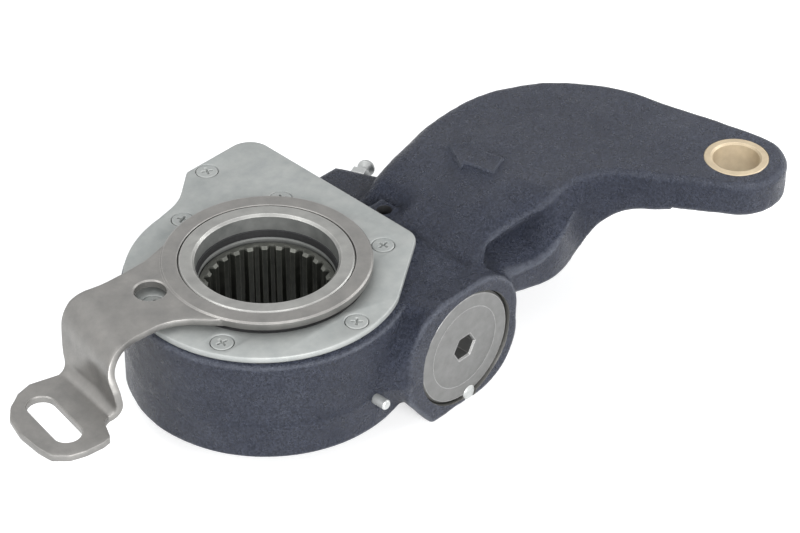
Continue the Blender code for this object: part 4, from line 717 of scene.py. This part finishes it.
# Painted shade: darker in the hollows.
colour = mixed(add, maths(add, "MULTIPLY", hollow, 0.4), colour, srgb(16, 18, 24))
sand, peel = noise(add, at, 1700.0, 3.0, 0.75), noise(add, at, 310.0, 2.0)
under = add("Bump", Height=peel, Distance=0.0003, Strength=0.35)
shader = add(
    "BsdfPrincipled",
    Base_Color=colour,
    Roughness=ranged(add, peel, 0.25, 0.75, 0.22, 0.38),
    Specular_IOR_Level=0.30,
    Normal=add("Bump", Height=sand, Distance=0.0018, Strength=1.0, Normal=under),
)
add("OutputMaterial", Surface=shader)
machined = metal_finish("machined_iron", (120, 120, 118), (150, 149, 146), 0.42, 70.0)
# Near black for the vent hole's wall: painted shade down the narrow hole.
hole_shade = metal_finish("painted_hole_shade", (7, 7, 8), (15, 15, 17), 0.75, 300.0, metallic=0.0)

points, quads = skin(casting_field, (-49.0, -94.0, -11.5), (168.0, 62.0, 47.5), GRID)
normal = slope(casting_field, points)
normal /= np.linalg.norm(normal, axis=1)[:, None]
casting = new_piece("lever_casting", points + normal * cast_waves(points)[:, None], quads, [paint])

wheel_room = [(0, -2), (26, -2), (26, 5.5), (30.7, 5.5), (30.7, 32.4), (35.2, 32.4)]
wheel_room += [(35.2, 40), (0, 40)]
worm_bore = [(0, -54), (21.4, -54), (20.8, -51.4), (20.8, -39.7), (13.6, -39.7), (13.6, 54)]
worm_bore += [(9.8, 54), (9.8, 61), (0, 61)]
vent = [(0, 25), (2.5, 25.6), (2.5, 36), (2.8, 36.6), (0, 38)]
foot_ring = [(46.2, -1), (50, -1), (50, 1), (47.5, 1), (46.2, 0)]
seal_groove = [(25, 1.45), (27.9, 1.45), (27.9, 4.05), (25, 4.05)]
EYE_FRAME = axis_frame((*EYE, 0))
LOCK_FRAME = axis_frame((41.4, 0, -6.9), (0, 1, 0))
STOP_X, STOP_Z = 1.4, 12.0
NIPPLE_FRAME = axis_frame((69.25, 27.25, 25.0), (14.5, 6.5, 0))
for cutter in (
    turned("foot_ring", foot_ring, looks=[machined]),
    turned("wheel_room", wheel_room, looks=[machined], ring=False),
    turned("seal_groove", seal_groove, looks=[machined]),
    turned("worm_bore", worm_bore, WORM_AXIS, looks=[machined], ring=False),
    rod("eye_hole", 11.0, 28, 48, EYE_FRAME, 96, [machined]),
    turned("vent_hole", vent, axis_frame((*VENT, 0)), 40, [hole_shade], False),
    rod("lock_hole", 2.8, -54, -42.1, LOCK_FRAME, 32, [machined]),
    rod("stop_hole", 1.85, -54, -39.0, axis_frame((STOP_X, 0, STOP_Z), (0, 1, 0)), 32, [machined]),
    rod("nipple_hole", 3.3, -6.3, 3, NIPPLE_FRAME, 32, [machined]),
):
    carved(casting, cutter)
# The edge mark drives the painted highlight on the casting's outer edges, and the hollow mark its
# painted shade in the hollows.
bend = bend_of_skin(casting_field, places_of(casting.data), 1.6)
mark(casting.data, "edge", np.clip(bend * 4.8, 0, 1))
mark(casting.data, "hollow", np.clip(-bend * 5, 0, 1))
stands_for(casting, "housing")
arrow_rows = [(-0.9, -0.6), (-0.25, ARROW_RISE - 0.2), (0, ARROW_RISE), (1.1, ARROW_RISE - 0.15)]
arrow = stacked("cast_arrow", [ARROW], arrow_rows, looks=[paint])
places = places_of(arrow.data)
places[:, 2] += lever_top(lever_station(places[:, 0], places[:, 1]))
arrow.data.vertices.foreach_set("co", (places * MM).ravel())
# The arrow's flanks take 0.7 of the edge mark: a painted highlight along them.
flank = np.arange(len(places)) < 3 * len(ARROW)
mark(arrow.data, "edge", flank * 0.7)
mark(arrow.data, "hollow", flank * 0.0)
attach(arrow, "housing_body")


# Clevis bushing: a bronze sleeve, turned with small chamfers and pressed into the lever's eye, so
# that its upper face stands a hair above the painted rim.
bronze = metal_finish(
    "bronze", (164, 148, 124), (190, 174, 146), 0.46, 150.0, (206, 192, 166), 0.35
)
sleeve = [(8.5, 32), (10.4, 32), (10.95, 32.6), (10.95, 44.8), (10.6, 45.1), (8.6, 45.1)]
sleeve = turned("clevis_sleeve", sleeve + [(8, 44.5), (8, 32.5)], EYE_FRAME, 96, [bronze])
stands_for(sleeve, "clevis_bushing")


# Stop pin and locking pin: hardened steel pins, ground and plated, driven into drilled holes in the
# hub's wall and beside the end cap.
pin_steel = metal_finish(
    "pin_steel", (172, 174, 173), (196, 198, 197), 0.42, 400.0, (222, 223, 222), 0.6
)
STOP_OUT = 5.2
stop_wall = math.sqrt(47.1**2 - STOP_X**2)
profile = [(0, -5.9), (1.75, -5.9), (1.75, STOP_OUT - 0.4), (1.4, STOP_OUT)]
profile += [(0.6, STOP_OUT + 0.03), (0, STOP_OUT)]
place = axis_frame((STOP_X, -stop_wall, STOP_Z), (0, -1, 0))
stop_pin = turned("stop_pin_body", profile, place, 40, [pin_steel], False)
stands_for(stop_pin, "stop_pin")
profile = [(0, -51.9), (1.4, -51.85), (2.2, -51.6), (2.65, -51.2), (2.65, -42.4), (0, -42.4)]
locking_pin = turned("locking_pin_body", profile, LOCK_FRAME, 40, [pin_steel], False)
stands_for(locking_pin, "locking_pin")


# Grease nipple: a plated steel nipple with a hexagon, a waist and a round head for the grease gun,
# turned in one piece and screwed into the rear pad at an angle.
rows = [(0.5, 0.25), (0.05, 0.6), (0, 0.8), (0, 3.4), (0.05, 3.6), (0.5, 3.95)]
nipple = stacked("grease_nipple_body", [hexagon(8.0)], rows, NIPPLE_FRAME, [pin_steel])
profile = [(0, -6), (2.9, -6), (2.9, 2), (2.9, 4.6), (2.1, 5.6), (1.9, 7.2), (2.3, 8)]
profile += [(3.1, 8.9), (3.1, 9.5), (2.5, 10.6), (1.6, 11.6), (0.8, 11.8), (0.7, 11.2), (0, 11)]
head = turned("nipple_head", profile, NIPPLE_FRAME, 48, [pin_steel], False)
stands_for(carved(nipple, head, operation="UNION"), "grease_nipple")


# Worm, clutch, rack and springs: cut from bar, hardened and oiled, and built into the bore behind
# the end cap. They keep the frame's own forms, in the finish of steel, spring steel or rubber.
cut_steel = metal_finish(
    "cut_steel", (112, 112, 110), (146, 145, 141), 0.34, 160.0, (190, 189, 185)
)
spring_steel = metal_finish(
    "spring_steel", (70, 72, 78), (98, 100, 104), 0.38, 240.0, (150, 151, 154)
)
rubber = metal_finish(
    "seal_rubber", (12, 12, 13), (24, 24, 25), 0.75, 300.0, (62, 62, 64), 0.0, 0.00006
)
for names, look in (
    ("worm_screw clutch_wheel clutch_ring rack spring_seat thrust_bearing", cut_steel),
    ("main_spring clutch_spring", spring_steel),
    ("adjuster_bush", bronze),
    ("adjuster_seal end_cap_seal", rubber),
):
    for node in names.split():
        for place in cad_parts[node].material_slots:
            place.material = look


# Worm wheel: a steel wheel with 26 splines broached through its bore for the camshaft, with a
# lead-in cone at each end, and the worm's teeth cut round its rim inside the housing.
TEETH, WORM_TEETH = 26, 24
SPLINE_TIP, SPLINE_ROOT = 19.3, 21.2


def spline_radius(turn):
    """Radius of the bore at an angle: the root across each space, the tip across each tooth, and a
    straight flank between them."""
    pitch = 2 * math.pi / TEETH
    off = np.abs((turn + pitch / 2) % pitch - pitch / 2)
    return np.interp(off, [0.0334, 0.0757], [SPLINE_ROOT, SPLINE_TIP])


def wheel_surface():
    """Rows of (radius, height) round the wheel. The bore's rows take the spline's radius where it
    is less than the row's own, and the rim's rows have a wave of one crest for each worm tooth."""
    half = np.array([0.0, 0.014, 0.0318, 0.035, 0.0485, 0.062, 0.0742, 0.0775, 0.092, 0.1065])
    pitch = 2 * math.pi / TEETH
    offsets = np.concatenate([half, [pitch / 2], pitch - half[:0:-1]])
    turn = (np.arange(TEETH)[:, None] * pitch + offsets).ravel()
    bore = spline_radius(turn)
    crest = 0.5 + 0.5 * np.cos(WORM_TEETH * turn)
    rows = [(bore.clip(20.6), 0.3), (bore, 1.6), (bore, 17), (bore, 33.2), (bore.clip(20.2), 34)]
    rim = [(22.3, 34, 0), (22.8, 33.5, 0), (22.8, 28.8, 0), (26.6, 26.4, 0), (29.4, 18.9, 3)]
    rim += [(30, 18.2, 4.6), (29, 13.4, 4.6), (30, 8.6, 4.6), (29.4, 7.9, 3)]
    rim += [(25.6, 6.6, 0), (25.6, 1, 0), (25, 0.3, 0)]
    rows += [(radius - depth * crest, z) for radius, z, depth in rim]
    across, along = np.cos(turn), np.sin(turn)
    grid = [np.broadcast_arrays(radius * across, radius * along, z) for radius, z in rows]
    points = np.concatenate([np.column_stack(row) for row in grid])
    return points, grid_faces(len(rows), len(turn), True)


oiled_steel = metal_finish(
    "oiled_steel", (38, 40, 36), (60, 61, 56), 0.44, 260.0, (96, 97, 90), 0.5
)
spline_end = metal_finish(
    "spline_end", (86, 87, 82), (114, 115, 109), 0.50, 260.0, (128, 129, 122), 0.5
)
wheel = new_piece("splined_wheel", *wheel_surface(), [oiled_steel, spline_end], 25.0)
for polygon in wheel.data.polygons:
    polygon.material_index = int(polygon.center.z > 33.3 * MM)
stands_for(wheel, "worm_wheel", "wheel")


# Control disc: a turned steel disc with a notch for the rack's peg, and the collar that comes up
# through the cover and carries the arm's ring. Three rubber seals keep the grease in.
collar_steel = metal_finish(
    "collar_steel", (144, 144, 142), (166, 166, 163), 0.42, 160.0, (200, 200, 197)
)
# A darker, duller copy of the collar's steel for the collar's bore wall and inner lip: painted
# shade inside the bore.
shaded_bore_steel = metal_finish(
    "shaded_bore_steel", (92, 94, 92), (114, 115, 113), 0.58, 200.0, (126, 127, 124), 0.3
)
profile = [(23.3, 32.8), (34, 32.8), (34.5, 33.2), (34.5, 35.4), (34.1, 35.8), (30.5, 35.8)]
profile += [(30.5, 40.4), (30.2, 40.7), (28.5, 40.7), (28.5, 44.1), (28.1, 44.5), (24.1, 44.5)]
profile += [(23.3, 43.7), (23.3, 36.3), (22.5, 35.2), (22.5, 34.7), (23.3, 34.4)]
disc = turned("control_collar", profile, steps=160, looks=[collar_steel, shaded_bore_steel])
# Painted shade: the bore's wall below the top rim takes the darker steel.
for polygon in disc.data.polygons:
    inside = math.hypot(*polygon.center[:2]) < 23.5 * MM
    polygon.material_index = int(inside and polygon.center.z < 43.5 * MM)
corners = [(-2.9, 28.3), (2.9, 28.3), (2.9, 36), (-2.9, 36)]
notch = stacked("peg_notch", [corners], [(0, 31.0), (0, 35.81)], looks=[collar_steel])
stands_for(carved(disc, notch), "control_disc", "control")
bore_lip = [(22.9, 35.7), (23.28, 35.9), (23.28, 38.5), (22.9, 38.5), (22.7, 37.4), (22.55, 37)]
bore_lip += [(22.5, 36.2)]
collar_lip = [(31, 37.4), (32.5, 37.4), (32.7, 39.2), (32.4, 39.4), (31.6, 38.8), (31.2, 39.35)]
collar_lip += [(30.75, 39)]
wheel_lip = [(26.2, 1.75), (27.4, 1.75), (27.6, 2), (27.6, 3.5), (27.3, 3.75), (26.6, 3.4)]
wheel_lip += [(26.1, 3.7), (26, 2.2)]
for node, profile, body in (
    ("bore_seal", bore_lip, "control"),
    ("collar_seal", collar_lip, "housing_body"),
    ("wheel_seal", wheel_lip, "housing_body"),
):
    stands_for(turned(f"{node}_lip", profile, looks=[rubber]), node, body)


# Cover: a plate blanked from sheet and zinc plated, on a thin gasket, held by seven countersunk
# screws with cross recesses, whose heads lie flush with it.
zinc = metal_finish(
    "zinc_plate", (150, 154, 153), (168, 170, 168), 0.55, 150.0, (188, 190, 188), 0.4
)
fibre = metal_finish("gasket_fibre", (26, 25, 25), (48, 45, 42), 0.75, 260.0, metallic=0.0)
COVER_LOW, COVER_TOP, COVER_HOLE_R = 37.35, 39.6, 32.8
SCREW_RING, HEAD_R, SHANK_R, SCREW_LENGTH = 39.7, 3.65, 2.4, 9.8
turns = np.radians([90, 39, -26.5, -89, -155, 160])
SCREW_PLACES = [*zip(SCREW_RING * np.cos(turns), SCREW_RING * np.sin(turns)), (24.5, 54.0)]


def round_hole(centre, radius, count=48):
    """Closed outline of a round hole."""
    return arc(centre, radius, 0, 2 * math.pi * (1 - 1 / count), count)


opening = round_hole((0, 0), COVER_HOLE_R, 128)
outlines = [cover_outline(-0.6), opening, *(round_hole(at, 2.9) for at in SCREW_PLACES)]
gasket = plate("cover_gasket_sheet", outlines, 36.65, 37.15, 0.1, [fibre])
stands_for(gasket, "cover_gasket")
outlines = [cover_outline(0.0), opening, *(round_hole(at, HEAD_R + 0.22) for at in SCREW_PLACES)]
cover = plate("cover_sheet", outlines, COVER_LOW, COVER_TOP, 0.45, [zinc])
stands_for(cover, "cover_plate")
profile = [(0, -SCREW_LENGTH), (SHANK_R - 0.5, -SCREW_LENGTH), (SHANK_R, 0.5 - SCREW_LENGTH)]
profile += [(SHANK_R, -2.3), (HEAD_R, -0.45), (HEAD_R, -0.2), (HEAD_R - 0.3, -0.02), (0, 0)]
screw = turned("screw", profile, steps=64, looks=[zinc], ring=False)
CROSS_HALF, CROSS_ARM = 0.5, 2.0
corner = np.array([(CROSS_ARM, -CROSS_HALF), (CROSS_ARM, CROSS_HALF), (CROSS_HALF, CROSS_HALF)])
quarter = np.array([(0, 1), (-1, 0)])
cross = np.concatenate([corner @ np.linalg.matrix_power(quarter, i) for i in range(4)])
carved(screw, stacked("cross", [cross], [(0.3, -1.0), (0, 0.0), (-0.1, 0.1)], looks=[zinc]))
for i, (x, y) in enumerate(SCREW_PLACES):
    mesh = screw.data.copy()
    turn = Matrix.Rotation(math.radians(20 + 37 * i), 4, "Z")
    mesh.transform(Matrix.Translation((x * MM, y * MM, COVER_TOP * MM)) @ turn)
    head = new_object(f"countersunk_screw_{i + 1}", mesh)
    stands_for(head, f"cover_screw_{i + 1}")
bpy.data.objects.remove(screw)


# Control arm: cut from steel sheet and pressed. Its ring is fixed to the collar, the flat reaches
# out over the cover, and it bends down to a foot with a slot for the bolt of the fixed bracket.
arm_steel = metal_finish(
    "arm_steel", (128, 127, 125), (146, 144, 141), 0.44, 140.0, (172, 170, 167), 0.85
)
ARM_TURN = math.radians(160)
ARM_FRAME = axis_frame((0, 0, 0), (0, 0, 1), (math.cos(ARM_TURN), math.sin(ARM_TURN), 0))
HALF_SHEET, SHEET_EDGE, SHEET_NEAR = 1.3, 0.55, 0.16
FLAT_Z, FOOT_Z, BEND_R, FOOT_BEND_R = 42.7, 22.2, 8.0, 4.5
ARM_START, BEND_START = 27.0, 57.0
ARM_LEFT = np.array(
    [(0, -22.2), (8, -16.6), (17.5, -13.3), (25, -11.1), (30, -10.5), (36, -10.4), (42.6, -7.9)]
    + [(50, -2.7), (54, -0.3), (58, 1.3), (61, 1.4), (70, 1.7), (76, 4.6)]
    + [(80.7, 9.8), (82.9, 14.9)]
)
ARM_RIGHT = np.array(
    [(0, 23.6), (7.5, 18), (13, 16.4), (17.5, 16.5), (27, 18.9), (30, 20.5), (36, 23.6)]
    + [(42.6, 26.6), (46, 27.8), (50, 28), (54, 27.8), (57, 27.7), (59.5, 29.6), (60.5, 33.4)]
    + [(61.5, 37), (64, 38.5), (69.5, 39.9), (74, 39.8), (78.2, 37.3), (80.4, 32.4), (82.9, 22.6)]
)
RING_IN, RING_OUT, RING_LOW, RING_TOP = 28.8, 34.3, 41.5, 44.5


def arm_middle(s):
    """The arm's middle surface at distances s along it, as (u, z) and its normal: level, a quarter
    turn down, straight down, a quarter turn out, and level again."""
    level_end, quarter = BEND_START - ARM_START, math.pi / 2
    drop = FLAT_Z - BEND_R - FOOT_Z - FOOT_BEND_R
    drop_end = level_end + BEND_R * quarter + drop
    bend = np.clip((s - level_end) / BEND_R, 0, quarter)
    foot = np.clip((s - drop_end) / FOOT_BEND_R, 0, quarter)
    fall = np.clip(s - level_end - BEND_R * quarter, 0, drop)
    beyond = np.maximum(s - drop_end - FOOT_BEND_R * quarter, 0)
    u = np.minimum(s, level_end) + ARM_START + BEND_R * np.sin(bend)
    u = u + FOOT_BEND_R * (1 - np.cos(foot)) + beyond
    z = FLAT_Z - BEND_R * (1 - np.cos(bend)) - fall - FOOT_BEND_R * np.sin(foot)
    return u, z, np.sin(bend - foot), np.cos(bend - foot)


def arm_strip():
    """The pressed sheet as rows across it. A row's edges come from the two tables, its first rows
    swing from the ring's circle to straight, and the bends lean, the more the nearer the foot."""
    root = 9.0
    parts = ((0, root, 7), (12, 29, 7), (30, 60, 50), (60.5, 82.4, 36))
    s = np.concatenate([*(np.linspace(*part) for part in parts), [82.7, 82.9]])
    thin = np.ones(len(s))
    thin[-2:] = 0.85, 0.55
    inner = np.linspace(-1, 1, 25)
    q = np.concatenate([inner, [1, 1, 1, 1], inner[::-1], [-1, -1, -1, -1]])
    inset = np.concatenate([np.full(25, SHEET_EDGE), [SHEET_NEAR, 0, 0, SHEET_NEAR]] * 2)
    near, edge = HALF_SHEET - SHEET_NEAR, HALF_SHEET - SHEET_EDGE
    h = np.concatenate([np.full(25, HALF_SHEET), [near, edge, -edge, -near]])
    h = np.concatenate([h, -h])
    left = np.interp(s, *ARM_LEFT.T)[:, None]
    right = np.interp(s, *ARM_RIGHT.T)[:, None]
    v = (left + right) / 2 + q * ((right - left) / 2 - inset)
    u, z, across, up = (part[:, None] for part in arm_middle(s))
    lean = np.interp(s, [30, 36, 42.6, 50, 57, 78], [0, 0.12, 0.35, 0.85, 1, 0.1])[:, None]
    hollow = 1.0 * np.exp(-(((s[:, None] - 47.5) / 5) ** 2) - ((v - 16) / 8) ** 2)
    off = h * thin[:, None] - hollow
    u = u + lean * (3.9 - 0.218 * v) + across * off
    z = z + up * off
    share = eased(s / root)[:, None]
    swing = np.interp(q, [-1, 1], [math.atan2(-22.0, 25.8), math.atan2(22.8, 25.1)])
    circle_u, circle_v = 33.9 * np.cos(swing), 33.9 * np.sin(swing)
    u = np.where(share < 1, circle_u + (u - circle_u) * share, u)
    v = np.where(share < 1, circle_v + (v - circle_v) * share, v)
    points = np.stack(np.broadcast_arrays(u, v, z), axis=-1).reshape(-1, 3)
    rows, columns = len(s), len(q)
    pair = np.arange(24)
    ends = np.stack([pair, pair + 1, 52 - pair, 53 - pair], axis=1)
    sides = [[24, 25, 28, 29], [25, 26, 27, 28], [53, 54, 57, 0], [54, 55, 56, 57]]
    ends = np.concatenate([ends, sides])
    return points, np.concatenate([grid_faces(rows, columns), ends, ends + (rows - 1) * columns])


points, faces = arm_strip()
arm = new_piece("control_arm_sheet", placed(points, ARM_FRAME), faces, [arm_steel], 40.0)
profile = [(RING_IN, RING_LOW), (RING_OUT - 0.3, RING_LOW), (RING_OUT, RING_LOW + 0.4)]
profile += [(RING_OUT, RING_TOP - 0.5), (RING_OUT - 0.5, RING_TOP), (RING_IN + 0.2, RING_TOP)]
profile += [(RING_IN, RING_TOP - 0.2)]
ring = turned("arm_ring", profile, ARM_FRAME, 160, [arm_steel])
rows = [(0, 39), (0, 43.6), (-0.6, 44.2)]
access = stacked("access_hole", [round_hole((40.0, -1.0), 5.2)], rows, ARM_FRAME, [arm_steel])
SLOT_HALF_WIDTH, SLOT_HALF_LENGTH, SLOT_TURN = 4.6, 12.5, math.radians(9.4)
reach = SLOT_HALF_LENGTH - SLOT_HALF_WIDTH
ends = ((reach, 0, math.pi), (-reach, math.pi, 2 * math.pi))
outline = np.concatenate([arc((0, y), SLOT_HALF_WIDTH, *turn, 24) for y, *turn in ends])
across, along = math.cos(SLOT_TURN), math.sin(SLOT_TURN)
outline = outline @ np.array([[across, along], [-along, across]]) + (82.6, 21.4)
rows = [(-0.6, 20.3), (0, 21.2), (0, 23.2), (-0.5, 23.7)]
slot = stacked("foot_slot", [outline], rows, ARM_FRAME, [arm_steel])
carved(arm, ring, operation="UNION", corner=40.0)
carved(arm, access, slot, corner=40.0)
stands_for(arm, "control_arm", "control")


# End cap: a steel cap turned on its face, with a hexagon socket for the key, screwed into the front
# of the worm's bore.
cap_steel = metal_finish(
    "cap_steel", (114, 114, 113), (127, 127, 126), 0.42, 320.0, (190, 190, 189), 0.8
)
profile = [(0, -51.2), (14.6, -51.2), (14.9, -51.05), (15.2, -51.2), (19.7, -51.2), (20.4, -50.5)]
profile += [(20.4, -40.3), (20.1, -40), (0, -40)]
cap = turned("end_cap_body", profile, WORM_AXIS, 128, [cap_steel], False)
rows = [(-0.7, -51.7), (-0.45, -51.2), (0, -50.6), (0, -44.2)]
key = stacked("key_socket", [hexagon(8.0)], rows, WORM_AXIS, [cap_steel])
stands_for(carved(cap, key), "end_cap")
